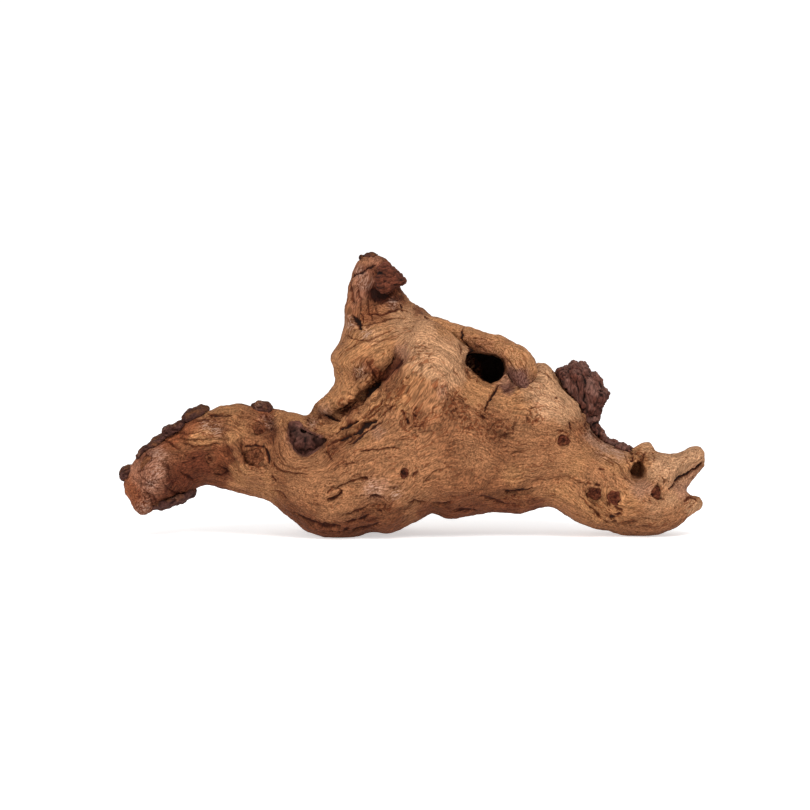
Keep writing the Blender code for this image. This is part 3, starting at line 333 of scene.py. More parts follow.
# The strap over the hollow: the line of its middle, its tones and its marks.
BRIDGE_LINES = [(4, 128.4), (14, 123.6), (24, 119), (34, 114.6), (44, 111), (53, 107), (60, 100.5), (64, 93), (65, 86)]
BRIDGE_TONES = [
    (GOLD, 14, 124, 8, 26, 120, 7, 38, 117, 6, 52, 113, 6, 62, 108, 6, 68, 102, 5),
    (BROWN, 34, 111, 6, 42, 108, 6, 50, 104, 6, 38, 112, 5),
    # the UMBER spots are painted shade where the strap rolls under into the hollow
    (UMBER, 44, 104, 4, 34, 108, 3, 60, 88, 4),
    (PLUM, 61, 92, 5, 64, 96, 3, 57, 88, 3, 64, 90, 3),
]
BRIDGE_MARKS = [
    (1.4, 0.8, 0.95, 30.6, 123, 29.6, 119, 28.6, 115.6, 31, 113, 34, 109), (0.9, 0.8, 0.6, 36, 111, 40, 110, 44, 108),
    (0.8, 0.7, 0.55, 36, 116, 42, 114.6, 47, 112), (0.8, 0.8, 0.55, 54, 105, 58, 101, 61, 96),
    (0.7, 0.7, 0.5, 63, 108, 66.6, 103, 67.4, 98), (0.7, 0.7, 0.5, 58, 93, 60.6, 89),
    (0.6, 0.6, 0.4, 20, 122, 26, 119.4), (2.4, 5, 0, 73, 106, 73, 98, 70, 92), (-2.2, 5.5, 0, 66, 87, 60, 85),
]

# The twelve edges of a cube, and four of them again.
SIGNS = [(1, 1), (-1, 1), (1, -1), (-1, -1)]
EDGES = [(a, b, 0) for a, b in SIGNS] + [(a, 0, b) for a, b in SIGNS] + [(0, a, b) for a, b in SIGNS]
GRADIENTS = np.array([EDGES[k] for k in (*range(12), 0, 1, 9, 11)], float)


def grouped(numbers, size=2):
    """Rows of so many numbers each."""
    return np.reshape(np.array(numbers, float), (-1, size))


def hashed(cells, seed):
    """A whole number for each row of cell numbers."""
    mixed = cells[:, 0] * 73856093 ^ cells[:, 1] * 19349663 ^ cells[:, 2] * 83492791 ^ (seed + 11) * 2654435761
    mixed = (mixed ^ (mixed >> 13)) * 1274126177
    return (mixed ^ (mixed >> 16)) & 0x7FFFFFFF


def noise(points, seed):
    """Gradient noise, about -1 to 1, at each row of points."""
    cell = np.floor(points).astype(np.int64)
    part = points - cell
    ease = part**3 * (part * (part * 6 - 15) + 10)
    total = np.zeros(len(points))
    for corner in itertools.product((0, 1), repeat=3):
        weight = np.prod(np.where(corner, ease, 1 - ease), axis=1)
        gradient = GRADIENTS[hashed(cell + corner, seed) % 16]
        total += weight * ((part - corner) * gradient).sum(axis=1)
    return total


def wander(points, seeds, *waves):
    """A smooth shift with one column for each seed; each wave has a length and a size."""
    columns = [sum(size * noise(points / length, seed + k) for k, (length, size) in enumerate(waves)) for seed in seeds]
    return np.stack(columns, axis=1)


def layered(points, seed, layers=3, rough=0.5):
    """Noise with finer layers on it."""
    total, weight, scale = 0, 1.0, 1.0
    for layer in range(layers):
        total = total + weight * noise(points * scale + 17.3 * layer, seed + layer)
        weight *= rough
        scale *= 2.03
    return total


def cells(points, seed):
    """Distance to the nearest and to the second nearest scattered point, and a number from 0 to 1 for the cell."""
    home = np.floor(points).astype(np.int64)
    first = np.full(len(points), 9.0)
    second = np.full(len(points), 9.0)
    owner = np.zeros(len(points))
    for step in itertools.product((-1, 0, 1), repeat=3):
        cell = home + step
        spot = np.stack([hashed(cell, seed + k) % 4096 / 4096 for k in range(3)], axis=1)
        far = np.linalg.norm(cell + spot - points, axis=1)
        nearer = far < first
        second = np.where(nearer, first, np.minimum(second, far))
        owner = np.where(nearer, hashed(cell, seed + 5) % 997 / 997, owner)
        first = np.where(nearer, far, first)
    return first, second, owner


def ramp(low, high, value):
    """A smooth rise from 0 at low to 1 at high, or a fall where low is the larger."""
    share = np.clip((value - low) / (high - low), 0, 1)
    return share * share * (3 - 2 * share)


def blended(tone, colour, share):
    """The tone, replaced by a colour as far as share says, which is one number or one for each point."""
    share = np.reshape(share, (-1, 1))
    return np.array(tone) * (1 - share) + np.array(colour) * share


def distance(flat, x, z):
    return np.linalg.norm(flat - (x, z), axis=1)


def plate(distance_squared):
    """The thin plate spline's kernel."""
    return 0.5 * distance_squared * np.log(distance_squared + 1e-12)


AT_ONCE = 20000  # so many points are worked on together
STIFFNESS = 0.004


class Stream:
    """A stream function in XZ whose level lines are the grain."""

    def __init__(self):
        rows = [(x, z, value) for value, *path in GUIDES for x, z in grouped(path)]
        self.spots = np.array(rows)[:, :2] / 100
        values = np.array(rows)[:, 2]
        count = len(rows)
        kernel = plate(((self.spots[:, None] - self.spots) ** 2).sum(axis=2)) + STIFFNESS * np.eye(count)
        plane = np.hstack([np.ones((count, 1)), self.spots])
        system = np.block([[kernel, plane], [plane.T, np.zeros((3, 3))]])
        self.weights = np.linalg.solve(system, np.concatenate([values, np.zeros(3)]))
        self.eye_values = self.plain(np.array(EYES)[:, :2])

    def plain(self, flat):
        out = np.empty(len(flat))
        for first in range(0, len(flat), AT_ONCE):
            part = flat[first : first + AT_ONCE] / 100
            near = plate(((part[:, None] - self.spots) ** 2).sum(axis=2))
            out[first : first + AT_ONCE] = near @ self.weights[:-3] + self.weights[-3] + part @ self.weights[-2:]
        return out

    def at(self, flat, front):
        """The stream value, parted round each eye where front is 1."""
        value = self.plain(flat)
        for (x, z, radius), middle in zip(EYES, self.eye_values):
            far = distance(flat, x, z)
            parted = middle + (value - middle) * (1 - (radius / np.maximum(far, radius)) ** 2)
            ringed = middle + (radius - far) * 1.3
            value = value + front * (np.where(far > radius, parted, ringed) - value) * (far < 5 * radius)
        return value


STREAM = Stream()


def placed(name, data):
    """A new object in the scene."""
    thing = bpy.data.objects.new(name, data)
    bpy.context.scene.collection.objects.link(thing)
    return thing


def arrays(mesh):
    """The mesh's points and normals."""
    both = np.empty((2, len(mesh.vertices) * 3))
    mesh.vertices.foreach_get("co", both[0])
    mesh.vertices.foreach_get("normal", both[1])
    return both.reshape(2, -1, 3)


def evaluated(mesh, *modifiers, far=None):
    """A copy of the mesh with modifiers applied; far lists the vertices of the group of that name."""
    holder = placed("holder", mesh)
    if far is not None:
        holder.vertex_groups.new(name="far").add(far.tolist(), 1.0, "REPLACE")
    for kind, settings in modifiers:
        modifier = holder.modifiers.new(kind, kind)
        for key, value in settings.items():
            setattr(modifier, key, value)
    graph = bpy.context.evaluated_depsgraph_get()
    result = bpy.data.meshes.new_from_object(holder.evaluated_get(graph), depsgraph=graph)
    bpy.data.objects.remove(holder)
    return result


def refined(node, voxel, rounds):
    """The node's skin as an even grid of small faces, in drawn millimetres."""
    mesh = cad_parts[node].data.copy()
    mesh.materials.clear()
    mesh.transform(Matrix.Translation(Vector(-DRAWN_ORIGIN)) @ Matrix.Scale(1000, 4))
    work = bmesh.new()
    work.from_mesh(mesh)
    bmesh.ops.remove_doubles(work, verts=work.verts, dist=1e-3)
    work.to_mesh(mesh)
    work.free()
    remesh = ("REMESH", {"mode": "VOXEL", "voxel_size": voxel})
    return evaluated(mesh, remesh, ("SMOOTH", {"factor": 0.5, "iterations": rounds}))


# What a layer of the paint is, where it isn't a plain number.
LAYERS = {"tone": ("FLOAT_COLOR", "color"), "grain": ("FLOAT_VECTOR", "vector")}


def skin(node, name, material, voxel, rounds, recipe, triangles=None):
    """The piece that stands for a node: its refined skin, carved and painted by a recipe."""
    mesh = refined(node, voxel, rounds)
    points, normals = arrays(mesh)
    shape, paint = recipe(points, normals)
    mesh.vertices.foreach_set("co", shape.ravel())
    mesh.update()
    for layer, values in paint.items():
        kind, field = LAYERS.get(layer, ("FLOAT", "value"))
        if layer == "tone":
            values = np.hstack([values, np.ones((len(values), 1))])
        mesh.attributes.new(layer, kind, "POINT").data.foreach_set(field, values.astype(np.float32).ravel())
    mesh.transform(Matrix.Scale(0.001, 4) @ Matrix.Translation(Vector(DRAWN_ORIGIN)))
    if triangles:
        # most faces are for the front, so the back is thinned first, and then the whole
        count = 2 * len(mesh.polygons)
        far = np.nonzero(normals[:, Y] > 0.15)[0]
        mesh = evaluated(mesh, ("DECIMATE", {"ratio": 1.5 * triangles / count, "vertex_group": "far"}), far=far)
        mesh = evaluated(mesh, ("DECIMATE", {"ratio": triangles / len(mesh.polygons)}))
    mesh.name = name
    mesh.materials.append(material)
    mesh.shade_smooth()
    piece = placed(name, mesh)
    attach(piece, "root")
    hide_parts(node)


def seen(points):
    """Where points lie on the front drawing."""
    x, y, z = (points - AIM).T
    away = EYE_DISTANCE + y * math.cos(ELEVATION) - z * math.sin(ELEVATION)
    up = y * math.sin(ELEVATION) + z * math.cos(ELEVATION)
    return np.stack([x, up], axis=1) * (EYE_DISTANCE / away)[:, None] + AIM[[X, Z]]


def spots_at(flat, spots):
    """For each spot of X, Z, radius and strength, its strength where it is felt, added up."""
    total = np.zeros(len(flat))
    for x, z, radius, strength in spots:
        far = distance(flat, x, z) / radius
        total += strength * np.exp(-1.2 * far * far)
    return total


def worn(points):
    """Moves points sideways a little, the same way for every piece, so that no edge stays clean."""
    away = wander(points, (91, 92, 93), (9, 0.7)) + wander(points, (94, 95, 96), (3.3, 0.42))
    return points + away * ramp(2, 7, points[:, Z])[:, None]


def settled(points):
    """Nothing reaches below the ground."""
    return np.maximum(points, (-np.inf, -np.inf, FLOOR))


def grain_of(points, normals):
    """Stream value, depth and distance along the grain at each point, with the wood's own waviness."""
    flat = seen(points)
    wave = wander(points, (3, 5), (24, 2.4), (9, 1.1)) + wander(points, (9, 10), (4.2, 0.28))
    wave = wave + (burls_at(flat) * 2.6)[:, None] * wander(points, (7, 8), (4.6, 1))
    front = ramp(0.25, -0.25, normals[:, Y])
    value = STREAM.at(flat + wave, front)
    depth = points[:, Y] + wave[:, 0]
    along = points[:, X] - 0.35 * points[:, Z] + wave[:, 1]
    return np.stack([value, depth, along], axis=1)


def burls_at(flat):
    burl = np.zeros(len(flat))
    for x, z, radius, strength in BURLS:
        far = distance(flat, x, z) / radius
        burl = np.maximum(burl, strength * np.clip(1.15 - far**2, 0, 1))
    return burl


def path_at(flat, path):
    """From each XZ point to a path: the distance, and the share of the path's length at its nearest spot."""
    steps = np.diff(path, axis=0)
    lengths = np.maximum(np.linalg.norm(steps, axis=1), 1e-6)
    nearest, place = np.full(len(flat), np.inf), np.zeros(len(flat))
    before = 0.0
    for start, step, length in zip(path[:-1], steps, lengths):
        share = np.clip((flat - start) @ step / length**2, 0, 1)
        far = np.linalg.norm(flat - start - share[:, None] * step, axis=1)
        place = np.where(far < nearest, before + share * length, place)
        nearest = np.minimum(nearest, far)
        before += length
    return nearest, place / before, before


def marks_at(points, normals, front_marks, back_marks=()):
    """How deep and how dark the carved marks are at each point; the dark is painted shade in the marks, with some of
    the wood's own dark streaks.
    """
    deep, dark = np.zeros(len(points)), np.zeros(len(points))
    drawings = {FRONT: seen(points), BACK: points[:, [X, Z]]}
    shaky = wander(points, (21, 23), (6.5, 0.9), (2.4, 0.5))
    ragged = 1 + 0.5 * noise(points / 2.6, 25) + 0.35 * noise(points / 1.3, 26)
    marks = [(FRONT, mark) for mark in front_marks] + [(BACK, mark) for mark in back_marks]
    for side, (depth, radius, darkness, *path) in marks:
        path = grouped(path)
        flat = drawings[side]
        near = (flat > path.min(axis=0) - 2.4 * radius - 1).all(axis=1)
        near &= (flat < path.max(axis=0) + 2.4 * radius + 1).all(axis=1)
        near &= side * normals[:, Y] > -0.15
        if not near.any():
            continue
        length = np.linalg.norm(np.diff(path, axis=0), axis=1).sum()
        far, place, _ = path_at(flat[near] + shaky[near] * min(1, length / 6), path)
        reach = np.full(len(far), radius)
        if length > 5 * radius:
            reach = radius * (0.35 + 0.65 * np.sqrt(np.clip(4 * place * (1 - place), 0, 1)))
        far = far / (reach * ragged[near])
        facing = ramp(-0.1, 0.35, side * normals[near, Y])
        deep[near] += depth * np.clip(1 - (far / 1.3) ** 2, 0, 1) ** 1.5 * facing
        if darkness:
            dark[near] = np.maximum(dark[near], 1.1 * darkness * ramp(1.1, 0.3, far) * facing)
    return deep, dark


def tone_at(points, flat, tones, base):
    """The base colour, blended with the spots of each tone."""
    flat = flat + wander(points, (31, 33), (8, 3.0), (2.6, 1.5))
    total = np.full(len(points), 0.03)
    colour = np.outer(total, base)
    for tone, *spots in tones:
        weight = np.zeros(len(points))
        for x, z, radius in grouped(spots, 3):
            far = distance(flat, x, z) / radius
            weight += np.exp(-1.3 * far * far) + 0.05 / (1 + far**4)
        total = total + weight
        colour = colour + weight[:, None] * np.array(tone)
    return colour / total[:, None]


def furrow(value, width):
    """1 along the lines where a noise changes its sign, and 0 further off."""
    return 1 - ramp(0, width, np.abs(value))


def body_paint(points, normals):
    """Carves and colours the wood, with painted shade in its furrows, pits, holes and undersides and painted highlights
    on its crests.
    """
    flat, y = seen(points), points[:, Y]
    behind = normals[:, Y]
    grain = grain_of(points, normals)
    deep, dark = marks_at(points, normals, MARKS, BACK_MARKS)
    burl = burls_at(flat) * ramp(0.3, -0.3, behind)
    rough = np.clip(1 + spots_at(flat, ROUGH) + 0.35 * noise(points / 28, 40), 0.3, 2.2)
    # long ridges, the furrows between them, and short splits
    fold = layered(grain / (8, 8, 60), 41, layers=2)
    wide = furrow(noise(grain / (5.2, 5.2, 34), 42), 0.30) * ramp(-0.35, 0.35, noise(points / 11, 43))
    thin = furrow(noise(grain / (2.9, 2.9, 19), 44), 0.32) * ramp(-0.4, 0.3, noise(points / 7, 45))
    split = furrow(noise(grain / (3.6, 3.6, 22), 46), 0.09) * ramp(0.05, 0.5, noise(points / 13, 47))
    crest = noise(grain / (2.4, 2.4, 15), 48)
    # pits where the grain is twisted
    first, _, owner = cells(points / 2.2, 49)
    pit = ramp(0.44, 0.12, first) * (owner < 0.55)
    rare = ramp(0.3, 0.6, noise(points / 18, 50)) * 0.7
    pit = pit * np.maximum(burl, rare)
    lump = layered(points / 4.4, 51, layers=2) * (0.25 + 0.8 * burl)
    knob = noise(points / 9, 54)
    height = 0.6 * fold - 0.36 * wide - 0.15 * thin + 0.08 * crest - 0.5 * split - 0.85 * pit + 0.6 * lump
    height = rough * (height + 0.35 * knob) + 0.15 - deep
    # painted shade: deep inside the holes the wood is darkened where shade falls
    hole_shade = np.zeros(len(points))
    for x, z, half_x, half_z, mouth, depth, end, darkness in HOLES:
        within = np.maximum(np.abs(flat[:, 0] - x) / half_x, np.abs(flat[:, 1] - z) / half_z)
        bottom = ramp(mouth, depth, y + 2.5 * lump) * ramp(end + 3, end, y)
        hole_shade = np.maximum(hole_shade, darkness * ramp(1.05, 0.9, within) * bottom)
    hole_shade *= ramp(0.6, 0.2, behind)
    height += (hole_shade + 0.5 * burl) * 0.8 * lump
    # wood that crumbles away stands up in flakes
    crumbled = np.clip(spots_at(flat, CRUMBLED), 0, 2.4) * ramp(0.5, 0.1, behind)
    flake = 1 - 2.6 * np.abs(layered(points / (2.7, 2.7, 2.1), 56, layers=2))
    height += crumbled * flake * 0.75
    # flakes standing up inside the holes get less of the painted shade
    hole_shade *= 1 - 0.6 * np.clip(crumbled, 0, 1) * ramp(-0.2, 0.6, flake)
    shape = settled(worn(points) + normals * height[:, None])
    tone = tone_at(points, flat, TONES, TAN)
    # the pocket is lined with old bark
    deepest, deep_end, front_end, foremost = POCKET_DEPTHS
    lined = ramp(13, 9, distance(flat, *POCKET)) * ramp(deepest, deep_end, y) * ramp(foremost, front_end, y)
    lined *= ramp(1.5, -1, flat @ POCKET_CORNER - POCKET_CORNER_OFFSET)
    tone = blended(tone, PLUM, lined * ramp(0.5, 0.0, behind))
    # the far side is plainer and browner; faces turned down are darkened towards UMBER as painted shade
    redder = ramp(-0.1, 0.6, noise(points / 26, 52))
    paler = ramp(0.1, 0.6, noise(points / 19, 53))
    plain = blended(blended(TAN, BROWN, redder), GOLD, 0.6 * paler)
    tone = blended(tone, plain, 0.75 * ramp(-0.1, 0.5, behind))
    # painted shade: faces turned down are darker
    tone = blended(tone, UMBER, 0.5 * ramp(-0.4, -0.95, normals[:, Z]))
    # painted highlight on the crests and painted shade in the furrows
    tone = tone * (1 + 0.08 * crest - 0.10 * thin - 0.16 * wide + 0.06 * fold)[:, None]
    # painted shade in the splits, pits and furrows, and between the flakes of crumbled wood
    dark = np.maximum(dark, np.clip(0.55 * split + 0.8 * pit + 0.10 * (wide + thin) * rough, 0, 0.85))
    dark = np.maximum(dark, 0.75 * np.clip(crumbled, 0, 1) * ramp(0.1, -0.6, flake))
    # the holes' painted shade joins the darkness
    dark = np.clip(np.maximum(dark, hole_shade), 0, 1)
    dust = np.clip(spots_at(flat, [(*spot, 1.0) for spot in DUST]), 0, 1) * ramp(0.3, -0.2, behind)
    dust = np.maximum(dust, 0.5 * ramp(0.35, 0.6, noise(points / 15, 55)) * ramp(0, 0.4, behind))
    return shape, {"grain": grain, "tone": tone, "dark": dark, "dust": dust, "burl": np.maximum(burl, 0.35 * rare)}


def bridge_paint(points, normals):
    """The strap's grain bends with it."""
    flat = seen(points)
    path = np.array(BRIDGE_LINES)
    far, place, length = path_at(flat, path)
    middle = path_at(flat + (0, 0.05), path)[0]
    value = np.where(middle > far, far, -far) + noise(points / 8, 61) * 1.4
    grain = np.stack([value, points[:, Y] + noise(points / 8, 62) * 1.4, place * length], axis=1)
    deep, dark = marks_at(points, normals, BRIDGE_MARKS)
    wide = furrow(noise(grain / (4.4, 4.4, 26), 63), 0.28)
    thin = furrow(noise(grain / (2.4, 2.4, 15), 64), 0.30)
    height = 0.4 * layered(grain / (7, 7, 40), 65, layers=2) - 0.32 * wide - 0.2 * thin + 0.3 * noise(points / 5, 66)
    shape = worn(points) + normals * (height + 0.3 - deep)[:, None]
    # painted shade: the strap's furrows are darker
    tone = tone_at(points, flat, BRIDGE_TONES, TAN) * (1.1 - 0.16 * wide - 0.12 * thin)[:, None]
    return shape, {"grain": grain, "tone": tone, "dark": dark, "dust": 0.15 + 0 * dark}


RINGLESS = 0.4  # knots more alive than this have the wood's grain


def knot_paint(points, normals, living):
    """End grain: rings round the middle, cracked and dark, or nearer to the wood's own colour."""
    middle = (points.min(axis=0) + points.max(axis=0)) / 2
    off = (points - middle)[:, [X, Z]] + wander(points, (71, 72), (1.8, 0.6))
    out = np.linalg.norm(off, axis=1)
    grain = np.stack([out * 1.6, points[:, Y] * 0.3, points[:, X] * 0.3], axis=1)
    first, second, _ = cells(points / (2.6, 2.6, 1.5), 73)
    crack = ramp(0.2, 0.0, second - first)
    wide = np.linalg.norm(normals[:, [X, Z]], axis=1)
    height = 0.45 + 0.9 * wide + 0.9 * noise(points / 1.6, 74) - 0.6 * crack - 0.5 * ramp(1.6, 0.2, out)
    shape = worn(points) + normals * height[:, None]
    mix = ramp(-0.3, 0.6, noise(points / 1.9, 75))
    tone = blended(blended(MAROON, np.array(UMBER) * 0.9, mix), BROWN, living)
    if living > RINGLESS:
        grain = grain_of(points, normals)
    # darker in the cracks, as painted shade, and towards the middle
    dark = np.clip(0.15 + 0.55 * crack + 0.4 * ramp(2.2, 0.4, out), 0, 0.9) * (1 - 0.4 * living)
    return shape, {"grain": grain, "tone": tone, "dark": dark, "dust": 0 * dark}


def crust_paint(points, normals):
    """Bark worn down to dark, streaky wood, with painted light on its upper faces and painted shade in its furrows."""
    grain = grain_of(points, normals)
    ridge = 1 - 2.4 * np.abs(layered(grain / (3.2, 3.2, 11), 56))
    height = 0.5 * ridge + 0.6 * layered(points / 5, 57, layers=2) + 0.4
    shape = settled(worn(points) + normals * height[:, None])
    # paler where the noise says and, as painted light, on faces turned up
    paler = ramp(-0.1, 0.7, noise(points / 4, 58) + 0.4 * normals[:, Z])
    tone = 0.65 * blended(PLUM, BROWN, paler)
    # painted shade in the valleys between the ridges
    dark = np.clip(0.25 + 0.6 * ramp(0.3, -0.6, ridge), 0, 0.85)
    dust = 0.45 * ramp(0.1, 0.6, noise(points / 5, 59))
    return shape, {"grain": grain, "tone": tone, "dark": dark, "dust": dust}


def bark_paint(lift, stretch, red_share, pale_and_lit_share=1.0, swell=(1, 1, 1), push=0):
    """Bark in angular plates, with ridges and cracks stretched by so many millimetres in X, Y and Z, with a painted
    highlight on its tops and painted shade in its cracks.
    """
    stretch = np.array(stretch)

    def recipe(points, normals):
        bent = points + wander(points, (81, 82, 83), (4.5, 1.5)) + wander(points, (77, 78, 79), (1.7, 0.4))
        first, second, owner = cells(bent / (2.6 * stretch), 82)
        crack = ramp(0.12, 0.0, second - first)
        ridge = 1 - 2.4 * np.abs(layered(bent / stretch, 84, rough=0.6))
        scale = 1 - 2 * np.abs(noise(points / (0.45 * stretch), 86))
        height = 0.7 * (owner - 0.45) + 0.7 * ridge - 0.8 * crack + 0.5 * scale + 0.7 * (second - first) - 0.45
        shape = settled(worn(points) + normals * (lift * height + 0.35)[:, None])
        middle = (points.min(axis=0) + points.max(axis=0)) / 2
        shape = middle + (shape - middle) * swell + (0, push, 0)
        # plates facing up and ridges are paler: partly the bark's own patchiness, partly a painted highlight from above
        pale_and_lit = pale_and_lit_share * ramp(0.25, 0.95, 0.45 * normals[:, Z] + 0.45 * owner + 0.35 * ridge)
        red = ramp(-0.1, 0.5, noise(points / 5, 88)) * 0.5
        tone = blended(BARK, BARK_PALE_AND_LIT, pale_and_lit)
        tone = blended(blended(tone, BARK_RED, red), MAROON, red_share)
        # painted shade in the cracks and the valleys between ridges
        dark = np.clip(0.6 * crack + 0.65 * ramp(0.3, -0.5, ridge), 0, 1)
        grain = points[:, [Y, X, Z]] * (4.4 / stretch[[Y, X, Z]])
        return shape, {"grain": grain, "tone": tone, "dark": dark, "dust": 0 * dark}

    return recipe


class Nodes:
    """Short calls for a material's nodes."""

    def __init__(self, name):
        self.material = bpy.data.materials.new(name)
        self.material.use_nodes = True
        self.tree = self.material.node_tree
        self.shader = self.tree.nodes["Principled BSDF"]

    def put(self, socket, value):
        if isinstance(value, bpy.types.NodeSocket):
            self.tree.links.new(value, socket)
        elif value is not None:
            socket.default_value = value

    def node(self, kind, inputs, output=0, **settings):
        """One output of a new node with these values or links on its inputs."""
        node = self.tree.nodes.new("ShaderNode" + kind)
        for name, value in settings.items():
            setattr(node, name, value)
        for name, value in inputs.items():
            self.put(node.inputs[name], value)
        return node.outputs[output]

    def surface(self, **inputs):
        """The material, with these values or links on its shader; _ stands for a space."""
        for name, value in inputs.items():
            self.put(self.shader.inputs[name.replace("_", " ")], value)
        return self.material

    def attribute(self, name, output):
        return self.node("Attribute", {}, output, attribute_name=name)

    def math(self, operation, a, b=None):
        return self.node("Math", {0: a, 1: b}, operation=operation)

    def times(self, a, b):
        return self.math("MULTIPLY", a, b)

    def streaks(self, grain, across, along, detail=1.0, rough=0.5):
        """Noise stretched along the grain; its two lengths are in millimetres."""
        scale = (1 / across, 1 / across, 1 / along)
        vector = self.node("VectorMath", {0: grain, 1: scale}, operation="MULTIPLY")
        return self.node("TexNoise", {"Vector": vector, "Scale": 1.0, "Detail": detail, "Roughness": rough}, "Fac")

    def ranged(self, value, low, high, to_low=0.0, to_high=1.0):
        inputs = dict(enumerate((value, low, high, to_low, to_high)))
        return self.node("MapRange", inputs, interpolation_type="SMOOTHSTEP")

    def mix(self, share, a, b, blend="MIX"):
        return self.node("Mix", {0: share, 6: a, 7: b}, 2, data_type="RGBA", blend_type=blend)

    def scaled(self, colour, amount):
        return self.node("VectorMath", {0: colour, "Scale": amount}, operation="SCALE")

    def bump(self, height, distance, strength):
        return self.node("Bump", {"Height": height, "Distance": distance, "Strength": strength})


def wood_material(name, contrast=1.0):
    n = Nodes(name)
    grain = n.attribute("grain", "Vector")
    tone = n.attribute("tone", "Color")
    dark = n.attribute("dark", "Fac")
    dust = n.attribute("dust", "Fac")
    wide = n.streaks(grain, 6.0, 60, 2.0)
    line = n.streaks(grain, 2.6, 42, 2.0)
    thread = n.streaks(grain, 1.3, 24)
    fibre = n.streaks(grain, 0.8, 9, 2.0, 0.6)
    grit = n.streaks(grain, 0.7, 1.1)
    tick = n.streaks(grain, 1.2, 3.6)
    patch = n.streaks(grain, 9.0, 22)
    fleck = n.streaks(grain, 1.7, 2.4)
    vein = n.ranged(n.math("ABSOLUTE", n.math("SUBTRACT", line, 0.5)), 0.0, 0.035, 1.0, 0.0)
    vein = n.times(vein, n.ranged(patch, 0.4, 0.6, 0.1, 1.0))
    tick = n.times(n.ranged(tick, 0.60, 0.70), n.ranged(patch, 0.38, 0.55, 0.9, 0.3))
    vein = n.math("MAXIMUM", vein, tick)
    fleck = n.times(n.ranged(fleck, 0.51, 0.60), n.ranged(n.attribute("burl", "Fac"), 0.05, 0.45))
    vein = n.math("MAXIMUM", vein, fleck)
    colour = tone
    for streaks, darker, lighter in ((wide, 0.12, 0.12), (thread, 0.20, 0.12), (fibre, 0.30, 0.18)):
        colour = n.scaled(colour, n.ranged(streaks, 0.25, 0.75, 1 - darker * contrast, 1 + lighter * contrast))
    colour = n.scaled(colour, n.ranged(grit, 0.25, 0.75, 0.54, 1.41))
    brown = n.mix(1.0, colour, (0.42, 0.24, 0.17, 1), "MULTIPLY")
    colour = n.mix(n.times(vein, 0.8 * contrast), colour, brown)
    chalk = n.times(dust, n.ranged(n.math("ADD", fibre, grit), 0.95, 1.15))
    colour = n.mix(n.times(chalk, 0.55), colour, (0.44, 0.30, 0.23, 1))
    # painted shade: where the darkness is high (cracks, clefts, pits, holes, with the wood's own dark marks) the colour
    # is darkened, and at its strongest turned near black
    deep = n.mix(1.0, colour, (0.28, 0.15, 0.11, 1), "MULTIPLY")
    deep = n.mix(n.ranged(dark, 0.7, 1.0), deep, (*SHADE_BLACK, 1))
    colour = n.mix(n.ranged(dark, 0.08, 0.85), colour, deep)
    height = n.math("ADD", n.times(fibre, 0.6), n.times(vein, -0.5))
    for streaks in (grit, thread):
        height = n.math("ADD", height, n.times(streaks, 0.3))
    dull = n.ranged(fibre, 0.2, 0.8, 0.95, 0.8)
    normal = n.bump(height, 0.001, 0.55)
    return n.surface(Base_Color=colour, Roughness=dull, Specular_IOR_Level=0.1, Normal=normal)


def bark_material(name):
    n = Nodes(name)
    grain = n.attribute("grain", "Vector")
    tone = n.attribute("tone", "Color")
    dark = n.attribute("dark", "Fac")
    flake = n.streaks(grain, 2.2, 3.6, 4.0, 0.6)
    crumb = n.streaks(grain, 0.9, 1.2, 2.0, 0.6)
    colour = n.scaled(tone, n.ranged(flake, 0.3, 0.7, 0.55, 1.45))
    colour = n.scaled(colour, n.ranged(crumb, 0.3, 0.7, 0.62, 1.35))
    # painted shade: cracks and the valleys between plates are darkened to near black
    colour = n.mix(n.ranged(dark, 0.1, 0.95), colour, (0.010, 0.005, 0.004, 1))
    height = n.math("ADD", n.times(flake, 0.8), n.times(crumb, 0.45))
    dull = n.ranged(flake, 0.2, 0.8, 0.95, 0.8)
    normal = n.bump(height, 0.0012, 0.9)
    return n.surface(Base_Color=colour, Roughness=dull, Specular_IOR_Level=0.12, Normal=normal)


def floor_material():
    white, grey = (1, 1, 1, 1), (0.85, 0.85, 0.85, 1)
    look = dict(Base_Color=grey, Roughness=0.9, Specular_IOR_Level=0.0, Emission_Color=white, Emission_Strength=0.52)
    return Nodes("studio_white").surface(**look)


BODY_TRIANGLES = 196000
# How far a knot in the arm has kept the living wood's colour and grain.
LIVING_KNOTS = {"knot_arm_square": 0.45, "knot_arm_eye": 0.7, "knot_arm_lower": 0.4, "knot_arm_upper": 0.3}


def build_pieces():
    wood = wood_material("weathered_wood")
    heart = wood_material("dead_knot_wood", 0.7)
    bark = bark_material("old_bark")
    skin("driftwood_body", "wood", wood, 0.74, 9, body_paint, BODY_TRIANGLES)
    skin("hollow_bridge", "strap_over_hollow", wood, 0.7, 6, bridge_paint)
    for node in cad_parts:
        if node.startswith("knot_"):
            recipe = functools.partial(knot_paint, living=LIVING_KNOTS.get(node, 0))
            skin(node, "dead_" + node, heart, 0.5, 1, recipe)
        elif node == "dead_branch_plug":
            skin(node, "rotted_stump", bark, 0.5, 2, bark_paint(1.0, (3, 3, 4), 0, 0.45, (2.2, 1, 1.9), -4))
        elif node.startswith("arm_") or node == "stub_crown_crust":
            skin(node, "clinging_" + node, wood, 0.6, 2, crust_paint)
        elif node == "stub_bark":
            skin(node, "rough_" + node, bark, 0.6, 1, bark_paint(0.8, (8, 6, 1.9), 0.7, 0.1))
        elif node in ("bark_slab", "bark_slab_lower", "bark_ridge_strip"):
            skin(node, "rough_" + node, bark, 0.62, 0, bark_paint(1.1, (3, 3, 9), 0.15))


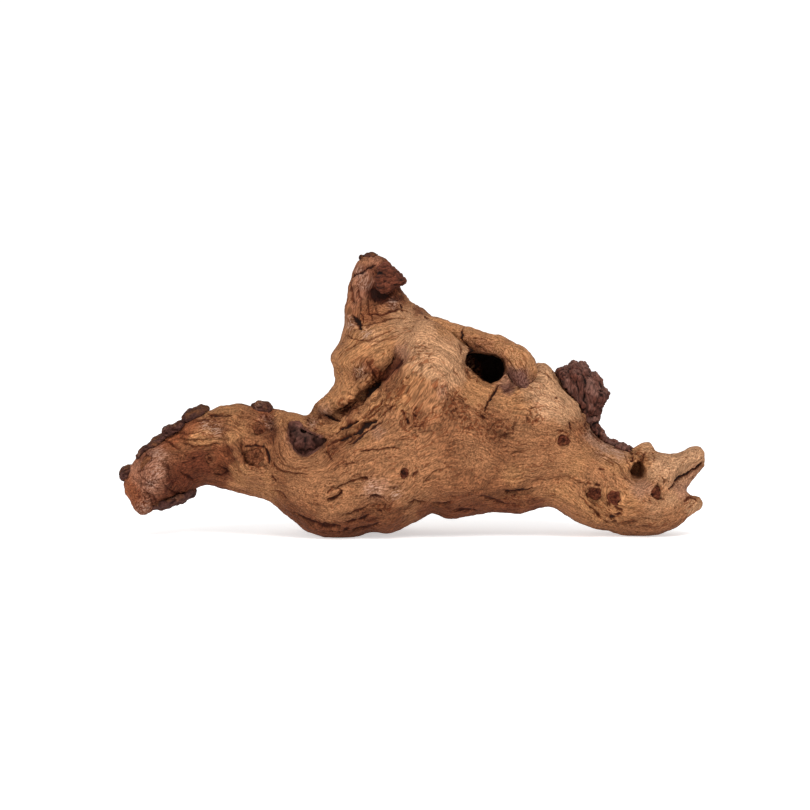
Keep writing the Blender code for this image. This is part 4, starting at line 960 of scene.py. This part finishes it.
def build_studio():
    scene = bpy.context.scene
    scene.view_settings.view_transform = "Standard"
    world = bpy.data.worlds.new("studio")
    world.use_nodes = True
    tree = world.node_tree
    sky = tree.nodes["Background"]
    sky.inputs["Color"].default_value = (1, 1, 1, 1)
    # white walls at eye level, and a dimmer ceiling, so that the lamps give the wood its shape
    direction = tree.nodes.new("ShaderNodeTexCoord")
    split = tree.nodes.new("ShaderNodeSeparateXYZ")
    level = tree.nodes.new("ShaderNodeMapRange")
    tree.links.new(direction.outputs["Generated"], split.inputs[0])
    tree.links.new(split.outputs["Z"], level.inputs["Value"])
    for name, value in (("From Min", 0.15), ("From Max", 0.5), ("To Min", 1.08), ("To Max", 0.62)):
        level.inputs[name].default_value = value
    tree.links.new(level.outputs[0], sky.inputs["Strength"])
    scene.world = world
    floor = bmesh.new()
    bmesh.ops.create_grid(floor, x_segments=1, y_segments=1, size=30)
    mesh = bpy.data.meshes.new("studio_floor")
    floor.to_mesh(mesh)
    floor.free()
    mesh.materials.append(floor_material())
    placed("studio_floor", mesh)
    lamps = [("key", (0.4, -1.2, 1.45), 0.8, 19.0), ("fill", (-1.2, -1.3, 0.6), 1.2, 10.0)]
    for name, place, size, power in lamps:
        light = bpy.data.lights.new(name, "AREA")
        light.shape = "DISK"
        light.size = size
        light.energy = power
        lamp = placed(name, light)
        lamp.location = place
        lamp.rotation_euler = (Vector((0, 0, 0.07)) - Vector(place)).to_track_quat("-Z", "Y").to_euler()


def build_camera():
    """Looks along +Y from a little above."""
    away = EYE_DISTANCE / 1000
    target = Vector((AIM + DRAWN_ORIGIN) / 1000)
    towards = Vector((0, -math.cos(ELEVATION), math.sin(ELEVATION)))
    data = bpy.data.cameras.new("camera")
    data.sensor_width = SENSOR_WIDTH
    data.lens = SENSOR_WIDTH * away / VIEW_WIDTH
    data.clip_end = 100
    camera = placed("camera", data)
    camera.location = target + towards * away
    camera.rotation_euler = (-towards).to_track_quat("-Z", "Y").to_euler()
    bpy.context.scene.camera = camera


build_pieces()
build_studio()
build_camera()
